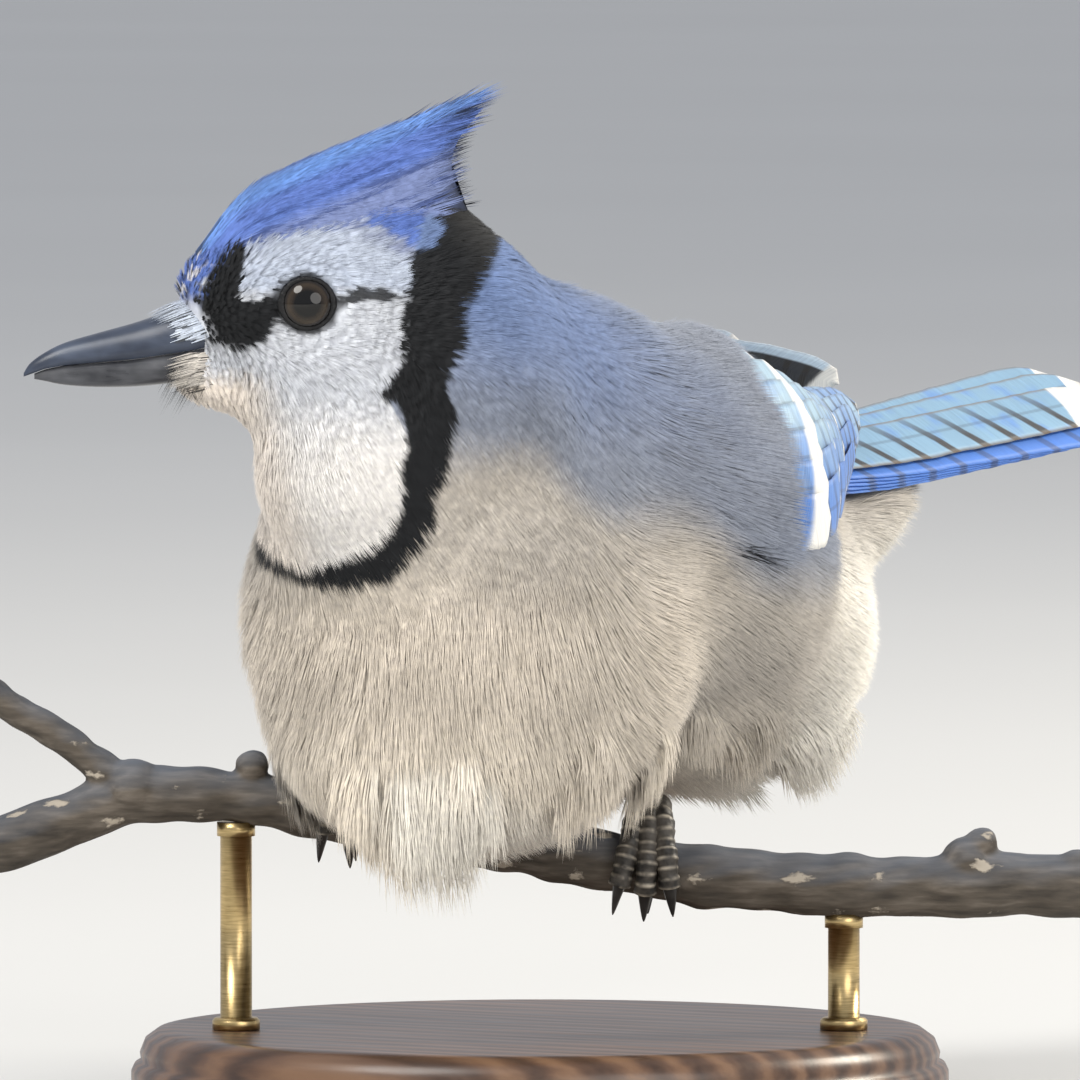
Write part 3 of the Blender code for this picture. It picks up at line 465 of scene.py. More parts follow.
@dataclass(frozen=True)
class VaneFinish:
    """Barred flight feathers, read from the place along and across each vane."""

    name: str
    blue: Colour
    pale: Colour
    bar_spacing: float
    bar_share: float
    tip_white: float
    bar_slope: float
    edge: float
    soft: float = 0.045
    roughness: float = 0.5

    def material(self) -> Material:
        """Build the material."""
        nodes = Nodes(self.name, self.roughness)
        nodes.fix(Specular_IOR_Level=0.35, Sheen_Weight=0.15)
        across, along, left = nodes.split(nodes.attribute("vane").outputs["Vector"])
        bars, tips, tint = nodes.split(nodes.attribute("kind").outputs["Vector"])
        slope = nodes.line(nodes.math("ABSOLUTE", across), -1.6, along)
        parts = (nodes.times(slope, 5.0), nodes.times(across, 0.5), nodes.times(tint, 31.0))
        barbs = nodes.add("ShaderNodeCombineXYZ", dict(enumerate(parts)))
        barb = nodes.noise(barbs.outputs[0], 1.0, 2.0)
        patches = nodes.noise(nodes.place(), 160.0, 3.0)
        curve = nodes.line(nodes.line(across, 0.45, 1.0), nodes.times(across, -self.bar_slope), along)
        wobble = nodes.line(patches, 1.4, curve)
        phase = nodes.math("FRACT", nodes.math("DIVIDE", wobble, self.bar_spacing))
        edge = nodes.math("ABSOLUTE", nodes.math("SUBTRACT", phase, 0.5))
        bar = nodes.band(edge, self.bar_share + self.soft, self.bar_share - self.soft, "SMOOTHSTEP")
        bar_mask = nodes.times(nodes.times(bar, bars), nodes.line(across, 0.5, 0.9))
        blue = nodes.mix(nodes.times(patches, tint), self.blue, self.pale)
        body = nodes.mix(bar_mask, blue, (0.006, 0.007, 0.012))
        # A bars value above 1 turns the vane near black: dusky inner webs on the far wing, deepened as
        # painted shade.
        dark = nodes.math("MINIMUM", nodes.math("MAXIMUM", nodes.math("SUBTRACT", bars, 1.0), 0.0), 1.0)
        body = nodes.mix(nodes.times(dark, 0.97), body, (0.016, 0.012, 0.010))
        high = nodes.times(nodes.times(nodes.band(across, -0.45, -0.60), dark), tint)
        body = nodes.mix(high, body, (0.55, 0.68, 0.80))
        apart = nodes.math("ABSOLUTE", across)
        line = nodes.times(nodes.times(nodes.band(apart, 0.86, 0.97), tint), self.edge)
        body = nodes.mix(line, body, (0.16, 0.12, 0.085))
        body = nodes.mix(nodes.times(nodes.band(apart, 0.09, 0.04), 0.3), body, (0.01, 0.012, 0.02))
        ahead = nodes.line(barb, 1.2, nodes.line(across, -self.bar_slope, left))
        white = nodes.band(ahead, nodes.times(tips, self.tip_white + 0.9), nodes.times(tips, self.tip_white),
                           "SMOOTHSTEP")
        white_mask = nodes.times(white, nodes.math("GREATER_THAN", tips, 0.01))
        body = nodes.mix(white_mask, body, (0.80, 0.79, 0.75))
        nodes.colour(nodes.group(BARB_SHADE, Colour=body, Grain=barb, Darkest=0.242, Lightest=0.772))
        nodes.bump(barb, 0.35, 0.0002)
        return nodes.material


@dataclass(frozen=True)
class HornFinish:
    """Smooth dark horn with streaks of pale wear."""

    name: str
    dark: Colour
    light: Colour
    roughness: float = 0.3

    def material(self) -> Material:
        """Build the material."""
        nodes = Nodes(self.name, self.roughness)
        nodes.fix(Coat_Weight=0.15, Coat_Roughness=0.25, Specular_IOR_Level=0.35)
        place = nodes.place()
        streak = nodes.drawn(place, (90.0, 90.0, 420.0), 5.0, -TURN)
        cloud = nodes.noise(place, 140.0, 3.0)
        mixed = nodes.line(streak, 0.5, nodes.times(cloud, 0.5))
        nodes.colour(nodes.ramp(mixed, ((0.36, self.dark), (0.62, self.light))))
        nodes.rough(nodes.line(streak, 0.3, self.roughness - 0.12))
        nodes.bump(streak, 0.2, 0.0002)
        return nodes.material


@dataclass(frozen=True)
class EyeFinish:
    """A wet dark eye with a brown iris round its pupil."""

    name: str = "eye_dark"

    def material(self) -> Material:
        """Build the material."""
        nodes = Nodes(self.name, 0.04)
        nodes.fix(Specular_IOR_Level=0.42)
        reach = nodes.attribute("ring").outputs["Fac"]
        fleck = nodes.noise(nodes.place(), 1500.0, 4.0)
        value = nodes.line(fleck, 0.06, reach)
        nodes.colour(nodes.ramp(value, (
            (0.0, (0.0008, 0.0008, 0.0008)), (0.50, (0.001, 0.0009, 0.0008)), (0.58, (0.012, 0.008, 0.005)),
            (0.74, (0.030, 0.021, 0.013)), (0.84, (0.010, 0.007, 0.005)), (0.90, (0.001, 0.001, 0.001)),
        )))
        return nodes.material


@dataclass(frozen=True)
class SkinFinish:
    """Blackish scaled skin of the legs, or the bare skin round the eyes."""

    name: str
    dark: Colour
    light: Colour
    scale: float

    def material(self) -> Material:
        """Build the material."""
        nodes = Nodes(self.name, 0.5)
        nodes.fix(Specular_IOR_Level=0.3)
        place = nodes.place()
        cloud = nodes.noise(place, self.scale, 5.0)
        skin = nodes.ramp(cloud, ((0.35, self.dark), (0.7, self.light)))
        # The raised edge of each scute is painted pale cream, in uneven patches.
        patchy = nodes.line(nodes.noise(place, 520.0, 2.0), 3.2, -1.15)
        pale_rims = nodes.times(nodes.attribute("scute").outputs["Fac"], patchy)
        nodes.colour(nodes.mix(pale_rims, skin, (0.36, 0.32, 0.26)))
        cells = nodes.add("ShaderNodeTexVoronoi", {"Vector": place, "Scale": self.scale * 2.2})
        nodes.bump(cells.outputs["Distance"], 0.3, 0.0003)
        nodes.rough(nodes.line(cloud, 0.35, 0.3))
        return nodes.material


@dataclass(frozen=True)
class BarkFinish:
    """Grey-brown bark with pale diamond lenticels and fine cracks, and a painted blue-grey sky reflection on
    its upward-facing top.
    """

    name: str = "bark_grey"

    def material(self) -> Material:
        """Build the material."""
        nodes = Nodes(self.name, 0.82)
        place = nodes.place()
        turned = nodes.stretch(place, (1.0, 1.0, 1.0), -TURN)
        grain = nodes.drawn(turned, (120.0, 700.0, 700.0), 7.0)
        crumbs = nodes.drawn(turned, (900.0, 1500.0, 1500.0), 3.0)
        cloud = nodes.noise(place, 60.0, 4.0)
        mixed = nodes.line(grain, 0.6, nodes.times(cloud, 0.4))
        bark = nodes.ramp(mixed, ((0.32, (0.022, 0.018, 0.014)), (0.5, (0.075, 0.062, 0.048)),
                                  (0.68, (0.17, 0.145, 0.12))))
        # The upward-facing top is mixed towards blue-grey by the surface's up direction: a painted
        # reflection of the sky.
        above = nodes.split(nodes.add("ShaderNodeNewGeometry").outputs["Normal"])[2]
        sky_reflection = nodes.times(nodes.math("MAXIMUM", above, 0.0), cloud)
        bark = nodes.mix(sky_reflection, bark, (0.13, 0.16, 0.21))
        inputs = {"Vector": nodes.stretch(turned, (105.0, 210.0, 210.0)), "Scale": 1.0, "Randomness": 0.9}
        cells = nodes.add("ShaderNodeTexVoronoi", inputs, distance="MANHATTAN")
        ragged = nodes.line(crumbs, 0.5, cells.outputs["Distance"])
        spot = nodes.band(nodes.line(grain, 0.34, ragged), 0.72, 0.60)
        nodes.colour(nodes.mix(nodes.times(spot, 0.8), bark, (0.42, 0.37, 0.30)))
        nodes.bump(nodes.line(spot, 0.5, mixed), 0.7, 0.0006)
        return nodes.material


@dataclass(frozen=True)
class WoodFinish:
    """Turned and oiled dark wood."""

    name: str = "walnut_oiled"

    def material(self) -> Material:
        """Build the material."""
        nodes = Nodes(self.name, 0.36)
        nodes.fix(Coat_Weight=0.25, Coat_Roughness=0.25)
        place = nodes.place()
        warp = nodes.drawn(place, (8.0, 28.0, 28.0), 3.0)
        inputs = {"Vector": nodes.stretch(place, (0.25, 1.0, 1.0)), "Scale": 55.0, "Distortion": 5.0,
                  "Detail": 3.0, "Detail Scale": 1.4}
        rings = nodes.add("ShaderNodeTexWave", inputs, wave_type="BANDS", bands_direction="Y")
        fibre = nodes.drawn(place, (50.0, 900.0, 900.0), 3.0)
        value = nodes.line(rings.outputs["Fac"], 0.45, nodes.line(fibre, 0.35, nodes.times(warp, 0.25)))
        nodes.colour(nodes.ramp(value, ((0.25, (0.035, 0.016, 0.008)), (0.55, (0.085, 0.042, 0.022)),
                                        (0.8, (0.15, 0.08, 0.042)))))
        nodes.rough(nodes.line(fibre, 0.25, 0.26))
        nodes.bump(fibre, 0.12, 0.0002)
        return nodes.material


@dataclass(frozen=True)
class BrassFinish:
    """Brushed brass."""

    name: str = "brass_brushed"

    def material(self) -> Material:
        """Build the material."""
        nodes = Nodes(self.name, 0.3, 1.0)
        place = nodes.place()
        brush = nodes.drawn(place, (300.0, 300.0, 4000.0), 3.0)
        nodes.colour(nodes.ramp(brush, ((0.3, (0.42, 0.30, 0.13)), (0.7, (0.66, 0.50, 0.25)))))
        nodes.rough(nodes.line(brush, 0.25, 0.2))
        nodes.bump(brush, 0.08, 0.0001)
        return nodes.material


class MeshPile:
    """Gathers many closed shapes as arrays and makes them one object."""

    def __init__(self) -> None:
        """Start with nothing."""
        self.points: list[Array] = []
        self.triangles: list[Array] = []
        self.layers: dict[str, list[Array]] = {}
        self.count = 0

    def add(self, points: Array, triangles: Array, **layers: Array) -> None:
        """Add shapes.

        Args:
            points: Places of the corners, in mm.
            triangles: Three corner numbers for each triangle.
            layers: Further values for each corner.
        """
        self.points.append(points)
        self.triangles.append(triangles + self.count)
        self.count += len(points)
        for name, values in layers.items():
            self.layers.setdefault(name, []).append(values)

    def build(self, name: str, material: Material) -> Item:
        """Make the object, with its OFBake map and its attributes.

        Args:
            name: Name of the object.
            material: Its material.

        Returns:
            The new object, at the origin.
        """
        points = np.concatenate(self.points) * MM
        triangles = np.concatenate(self.triangles).astype(np.int32)
        mesh = bpy.data.meshes.new(name)
        mesh.vertices.add(len(points))
        mesh.vertices.foreach_set("co", points.astype(np.float32).ravel())
        mesh.loops.add(triangles.size)
        mesh.loops.foreach_set("vertex_index", triangles.ravel())
        mesh.polygons.add(len(triangles))
        mesh.polygons.foreach_set("loop_start", np.arange(0, triangles.size, 3, dtype=np.int32))
        mesh.polygons.foreach_set("use_smooth", np.ones(len(triangles), bool))
        mesh.update(calc_edges=True)
        colours = None
        for key, parts in self.layers.items():
            values = np.concatenate(parts).astype(np.float32)
            if key == "OFBake":
                layer = mesh.uv_layers.new(name="OFBake")
                layer.uv.foreach_set("vector", values[triangles.ravel()].ravel())
            elif key == "markings":
                colours = values
            elif key == "normals":
                mesh.normals_split_custom_set_from_vertices(values)
            else:
                layer = mesh.attributes.new(key, "FLOAT_VECTOR", "POINT")
                layer.data.foreach_set("vector", values.ravel())
        mesh.materials.append(material)
        item = show(name, mesh)
        if colours is not None:
            paint(item, colours)
        return item


def show(name: str, data: bpy.types.ID) -> Item:
    """Put a mesh, a light or a camera in the scene as an object."""
    item = bpy.data.objects.new(name, data)
    bpy.context.scene.collection.objects.link(item)
    return item


def enter(item: Item, finish: Finish, *replaced: str) -> Item:
    """Attach a piece to the body, hide the solids that it stands for, and log its faces.

    Args:
        item: The piece.
        finish: Slot for its finish; not used.
        replaced: Names of the solids that it stands for.

    Returns:
        The same piece.
    """
    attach(item, BODY)
    if replaced:
        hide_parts(*replaced)
    LOG.info("%s: %d faces", item.name, len(item.data.polygons))
    return item


def paint(item: Item, colours: Array) -> None:
    """Write colours to an object's corners as its markings."""
    layer = item.data.attributes.new("markings", "FLOAT_COLOR", "POINT")
    full = np.concatenate((colours, np.ones((len(colours), 1))), axis=1)
    layer.data.foreach_set("color", full.astype(np.float32).ravel())


def mesh_object(name: str, mesh_edit: bmesh.types.BMesh, material: Material, smooth: bool = True) -> Item:
    """Turn a bmesh into an object.

    Args:
        name: Name of the object.
        mesh_edit: The bmesh, which is freed.
        material: Material of the object.
        smooth: Whether its faces are shaded smooth.

    Returns:
        The new object.
    """
    bmesh.ops.recalc_face_normals(mesh_edit, faces=mesh_edit.faces)
    mesh = bpy.data.meshes.new(name)
    for face in mesh_edit.faces:
        face.smooth = smooth
    mesh_edit.to_mesh(mesh)
    mesh_edit.free()
    mesh.materials.append(material)
    return show(name, mesh)


def keep_result(item: Item) -> None:
    """Keep the result of an object's modifiers as its mesh."""
    graph = bpy.context.evaluated_depsgraph_get()
    mesh = bpy.data.meshes.new_from_object(item.evaluated_get(graph))
    item.modifiers.clear()
    item.data = mesh


def melt(item: Item, voxel: float, passes: int) -> None:
    """Melt an object's bodies into one, with voxels of a size in mm, and smooth it."""
    remesh = item.modifiers.new("voxels", "REMESH")
    remesh.mode = "VOXEL"
    remesh.voxel_size = voxel * MM
    smooth = item.modifiers.new("smooth", "SMOOTH")
    smooth.iterations = passes
    keep_result(item)


def read_surface(mesh: bpy.types.Mesh) -> tuple[Array, Array]:
    """Return the places of a mesh's corners in mm, and the directions out of it there."""
    points = np.empty(len(mesh.vertices) * 3, np.float32)
    mesh.vertices.foreach_get("co", points)
    normals = np.empty(len(mesh.vertices) * 3, np.float32)
    mesh.vertices.foreach_get("normal", normals)
    return points.reshape(-1, 3).astype(float) / MM, normals.reshape(-1, 3).astype(float)


def write_surface(mesh: bpy.types.Mesh, points: Array) -> None:
    """Move a mesh's corners to places in mm, and shade its faces smooth."""
    mesh.vertices.foreach_set("co", (points * MM).astype(np.float32).ravel())
    mesh.polygons.foreach_set("use_smooth", np.ones(len(mesh.polygons), bool))


def extrude_rings(mesh_edit: bmesh.types.BMesh, rings: Sequence[Sequence[Array]]) -> None:
    """Draw a closed body through rings of points, by extruding one circle along them.

    Args:
        mesh_edit: The bmesh to draw in.
        rings: Rings of equal number of points, in mm.
    """
    count = len(rings[0])
    made = bmesh.ops.create_circle(mesh_edit, segments=count, radius=1.0, cap_ends=False)
    ring = list(made["verts"])
    for vert, point in zip(ring, rings[0]):
        vert.co = Vector(point) * MM
    first = list(ring)
    edges = list({edge for vert in ring for edge in vert.link_edges})
    for points in rings[1:]:
        order = {tuple(vert.co): number for number, vert in enumerate(ring)}
        grown = bmesh.ops.extrude_edge_only(mesh_edit, edges=edges)["geom"]
        fresh = [item for item in grown if isinstance(item, bmesh.types.BMVert)]
        edges = [item for item in grown if isinstance(item, bmesh.types.BMEdge)]
        ring = sorted(fresh, key=lambda vert: order[tuple(vert.co)])
        for vert, point in zip(ring, points):
            vert.co = Vector(point) * MM
    for end in (first, ring):
        bmesh.ops.contextual_create(mesh_edit, geom=end)


def ringed_object(name: str, rings: Sequence[Sequence[Array]], material: Material,
                  smooth: bool = True) -> Item:
    """Make a closed body through rings of points in mm."""
    mesh_edit = bmesh.new()
    extrude_rings(mesh_edit, rings)
    return mesh_object(name, mesh_edit, material, smooth)


def tube_rings(points: Array, radii: Sequence[float], sides: int, flat: float = 1.0,
               first: Array | None = None) -> list[list[Array]]:
    """Return the rings of a tube of changing radius along a line.

    Args:
        points: Points of the line, in mm.
        radii: Radius at each point, in mm.
        sides: Number of corners of each ring.
        flat: Share by which the tube is flattened across its first direction.
        first: Direction of the first corner.

    Returns:
        The rings.
    """
    rings = []
    side = UP if first is None else first
    for step, point in enumerate(points):
        along = unit(points[min(step + 1, len(points) - 1)] - points[max(step - 1, 0)])
        if abs(float(side @ along)) > 0.98:
            side = NEAR
        side = unit(side - along * (side @ along))
        other = np.cross(along, side)
        turns = np.arange(sides) * math.tau / sides
        rings.append([point + (side * math.cos(turn) * flat + other * math.sin(turn)) * radii[step]
                      for turn in turns])
    return rings


def curve_row(table: Array, index: Array | int, part: Array | float) -> Array:
    """Read values from a smooth curve through a table's rows.

    Args:
        table: Rows of values.
        index: Number of the row before each place.
        part: Share of the way to the next row.

    Returns:
        The values at each place.
    """
    last = len(table) - 1
    a, b, c, d = (table[np.clip(index + shift, 0, last)] for shift in (-1, 0, 1, 2))
    return 0.5 * (2 * b + (c - a) * part + (2 * a - 5 * b + 4 * c - d) * part ** 2
                  + (3 * b - a - 3 * c + d) * part ** 3)


def smooth_rows(rows: Sequence[Sequence[float]], pieces: int) -> Array:
    """Read rows of values from a smooth curve through a table's own rows."""
    table = np.array(rows, float)
    last = len(table) - 1
    result = []
    for step in range(pieces + 1):
        place = last * step / pieces
        index = min(int(place), last - 1)
        result.append(curve_row(table, index, place - index))
    return np.array(result)


def read_row(rows: Sequence[Sequence[float]], place: float) -> list[float]:
    """Read a table's values at a place between its rows."""
    for before, after in zip(rows, rows[1:]):
        if place <= after[0]:
            share = (place - before[0]) / (after[0] - before[0])
            return [a + (b - a) * share for a, b in zip(before[1:], after[1:])]
    return list(rows[-1][1:])


@dataclass
class Markings:
    """The bird's markings, as colours over places on its surface."""

    # Lighter blue for the crest's top, a painted highlight.
    crown_light: Colour = (0.16, 0.34, 0.78)
    flank: Colour = (0.50, 0.46, 0.41)
    breast: Colour = (0.68, 0.61, 0.52)
    belly: Colour = (0.83, 0.75, 0.635)
    white: Colour = (0.96, 0.92, 0.83)
    nape: Colour = (0.15, 0.23, 0.45)
    mantle: Colour = (0.25, 0.28, 0.35)
    rump: Colour = (0.16, 0.29, 0.60)
    cheek: Colour = (0.60, 0.63, 0.69)
    brow: Colour = (0.50, 0.56, 0.68)
    throat: Colour = (0.90, 0.88, 0.86)
    chin: Colour = (0.86, 0.78, 0.70)
    crown: Colour = (0.11, 0.19, 0.54)
    crown_grey: Colour = (0.26, 0.30, 0.45)
    black: Colour = (0.009, 0.010, 0.012)

    def head_measures(self, points: Array) -> tuple[Array, Array, Array]:
        """Return how far points lie ahead, to the left and above the head's centre."""
        local = points - HEAD_CENTRE
        return -(local @ ACROSS), local @ NEAR, local[:, 2]

    def headness(self, points: Array) -> Array:
        """Return how far out points lie from the head's masses, 1 at their surface."""
        measures = np.stack(self.head_measures(points), axis=1)
        best = np.full(len(points), 1e9)
        for centre, radii, pitch in HEAD_MASSES:
            shift = measures - np.array(centre, float)
            turn = math.radians(pitch)
            ahead = shift[:, 0] * math.cos(turn) + shift[:, 2] * math.sin(turn)
            rise = shift[:, 2] * math.cos(turn) - shift[:, 0] * math.sin(turn)
            value = (ahead / radii[0]) ** 2 + (shift[:, 1] / radii[1]) ** 2 + (rise / radii[2]) ** 2
            best = np.minimum(best, value)
        return np.sqrt(best)

    def body_colour(self, points: Array) -> Array:
        """Colour the body behind and below the collar."""
        x = np.abs(points[:, 0])
        y = points[:, 1]
        z = points[:, 2] + 1.5 * mottle(points, 7.0, 2.0)
        colour = np.tile(np.array(self.flank), (len(points), 1))
        colour = blend(colour, self.breast, ease((4.0 - y) / 30.0) * ease((90.0 - z) / 18.0))
        colour = blend(colour, self.belly, ease((66.0 - z) / 20.0))
        tuft = np.where(y < -20.0, ease((13.0 - np.abs(points[:, 0] - 11.0)) / 7.0), ease((22.0 - x) / 10.0))
        colour = blend(colour, self.white, ease((55.0 - z) / 14.0) * tuft)
        # Whiter towards the rear below the mantle: the white undertail, carried forward over the rear flank
        # as painted light.
        colour = blend(colour, self.white, ease((y - 24.0) / 26.0) * ease((90.0 - z) / 14.0))
        edge = 91.0 - 11.0 * ease((y + 20.0) / 24.0) + 9.0 * ease((-y - 30.0) / 16.0)
        edge = edge + 14.0 * ease((y - 36.0) / 14.0)
        colour = blend(colour, self.mantle, ease((z - edge + 5.0) / 11.0))
        colour = blend(colour, self.nape, ease((z - edge - 4.0) / 24.0) * ease((10.0 - y) / 44.0) * 0.9)
        colour = colour * (1.0 + 0.10 * mottle(points, 5.0, 7.0))[:, None]
        colour = blend(colour, self.rump, ease((y - 18.0) / 22.0) * ease((z - 91.0) / 6.0))
        return colour

    def head_colour(self, ahead: Array, up: Array, points: Array) -> Array:
        """Colour the head in front of the collar."""
        colour = np.tile(np.array(self.cheek), (len(points), 1))
        colour = blend(colour, self.throat, ease((-12.0 - up) / 12.0))
        under = ease((ahead + 2.0 - 0.25 * (up + 30)) / 9.0)
        colour = blend(colour, self.chin, ease((-9.5 - up) / 4.0) * under)
        colour = blend(colour, self.brow, ease((up - 0.5) / 2.5))
        streak = mottle(points * np.array((0.25, 0.25, 1.0)), 0.7, 5.0)
        inside = inside_by(CROWN, ahead, up)
        streaky = np.clip(0.62 + 0.45 * streak, 0.0, 1.0)
        colour = blend(colour, self.crown_grey, ease((inside + 3.8) / 3.0) * streaky)
        colour = blend(colour, self.crown, ease((inside + 0.4 + 0.8 * streak) / 1.4))
        front = ease((ahead - 14.0) / 3.0) * ease(up / 2.0)
        colour = blend(colour, self.white, front * ease((mottle(points, 0.8, 9.0) - 0.35) / 0.3) * 0.7)
        colour = blend(colour, self.black, front * ease((mottle(points, 0.7, 4.0) - 0.4) / 0.3) * 0.9)
        colour = blend(colour, self.black, ease((inside_by(LORE, ahead, up) + 0.9) / 0.7))
        colour = blend(colour, self.black, ease((inside_by(EYE_LINE, ahead, up) + 0.3) / 0.5) * 0.92)
        ring = np.hypot(ahead, up * 1.02)
        return blend(colour, self.black, ease((5.2 - ring) / 0.7) * 0.93)

    def colour(self, points: Array) -> Array:
        """Colour any places on the bird.

        Args:
            points: Places in mm.

        Returns:
            Linear colours, one row for each place.
        """
        ahead, _, up = self.head_measures(points)
        near = 1.0 - ease((self.headness(points) - 1.25) / 0.16)
        colour = self.body_colour(points)
        face = self.head_colour(ahead, up, points)
        colour = blend(colour, face, ease((inside_by(FACE, ahead, up) + 0.25) / 0.5) * near)
        return blend(colour, self.black, ease((inside_by(COLLAR, ahead, up) + 0.35) / 0.6) * near)


@dataclass
class Flesh:
    """The smooth body under the feathers."""

    markings: Markings
    voxel: float = 1.4
    head_depth: float = 1.3
    body_depth: float = 3.2
    points: Array = field(init=False)
    normals: Array = field(init=False)
    triangles: Array = field(init=False)
    tree: BVHTree = field(init=False)

    def matrix(self, centre: Sequence[float], radii: Sequence[float], pitch: float, head: bool) -> Matrix:
        """Return the matrix that turns a unit sphere into one mass."""
        scale = Matrix.Diagonal((*[radius * MM for radius in radii], 1.0))
        if head:
            axes = Matrix((Vector(-ACROSS), Vector(NEAR), Vector(UP))).transposed().to_4x4()
            place = Matrix.Translation(Vector(head_point(*centre)) * MM)
            return place @ axes @ Matrix.Rotation(-math.radians(pitch), 4, "Y") @ scale
        place = Matrix.Translation(Vector(centre) * MM)
        return place @ Matrix.Rotation(-math.radians(pitch), 4, "X") @ scale

    def depth(self, points: Array) -> Array:
        """Return the coat's depth at places on the surface."""
        headness = self.markings.headness(points)
        return self.head_depth + (self.body_depth - self.head_depth) * ease((headness - 1.0) / 0.6)

    def build(self, material: Material) -> Item:
        """Blend the masses, smooth them and set them inside the coat."""
        mesh_edit = bmesh.new()
        for masses, head in ((BODY_MASSES, False), (HEAD_MASSES, True)):
            for centre, radii, pitch in masses:
                bmesh.ops.create_uvsphere(mesh_edit, u_segments=32, v_segments=16, radius=1.0,
                                          matrix=self.matrix(centre, radii, pitch, head))
        item = mesh_object("skin", mesh_edit, material)
        melt(item, self.voxel, 9)
        start = scene_point(-5.3, 0.0, 132.2)
        end = scene_point(-43.9, 0.0, 85.2)
        down = unit(np.cross(end - start, NEAR))
        down = down if down[2] < 0.0 else -down
        group = item.vertex_groups.new(name="below_the_neck")
        for vert in item.data.vertices:
            depth = float((np.array(vert.co) / MM - start) @ down)
            group.add([vert.index], min(1.0, max(0.0, 0.5 + depth / 16.0)), "REPLACE")
        smooth = item.modifiers.new("smooth", "SMOOTH")
        smooth.iterations = 60
        smooth.vertex_group = group.name
        keep_result(item)
        self.set_inside(item)
        return item

    def set_inside(self, item: Item) -> None:
        """Move the surface in by the coat's depth, and colour it."""
        mesh = item.data
        mesh_edit = bmesh.new()
        mesh_edit.from_mesh(mesh)
        bmesh.ops.triangulate(mesh_edit, faces=mesh_edit.faces)
        mesh_edit.to_mesh(mesh)
        mesh_edit.free()
        points, normals = read_surface(mesh)
        points -= normals * self.depth(points)[:, None]
        write_surface(mesh, points)
        corners = np.empty(len(mesh.loops), np.int32)
        mesh.loops.foreach_get("vertex_index", corners)
        self.points = points
        self.normals = normals
        self.triangles = corners.reshape(-1, 3)
        self.tree = BVHTree.FromPolygons(points.tolist(), self.triangles.tolist(), all_triangles=True)
        # The skin takes the markings 5% darker, as painted shade under the coat.
        paint(item, self.markings.colour(points + normals * 1.5) * 0.95)
        uv = self.unwrap(points)[self.triangles]
        wide = (uv[:, :, 0].max(axis=1) - uv[:, :, 0].min(axis=1)) > 0.4
        wrapped = uv[:, :, 0] < 0.5
        uv[:, :, 0] += (wide[:, None] & wrapped) * 0.95
        mesh.uv_layers.new(name="OFBake").uv.foreach_set("vector", uv.astype(np.float32).ravel())

    def unwrap(self, points: Array) -> Array:
        """Unwrap places by turning them round the body's or the head's own middle.

        Args:
            points: Places in mm.

        Returns:
            Places in the OFBake map, the body's in its lower part and the head's above.
        """
        head = self.markings.headness(points) < 1.12
        centre = np.where(head[:, None], head_point(-8.0, 0.0, -8.0), np.array((0.0, 12.0, 78.0)))
        ray = unit(points - centre)
        around = np.arctan2(ray[:, 0], -ray[:, 2]) / math.tau + 0.5
        rise = (1.0 + ray[:, 1]) / 2.0
        level = np.where(head, 0.70 + 0.29 * rise, 0.01 + 0.66 * rise)
        return np.stack((0.95 * around + 0.002, level), axis=1)


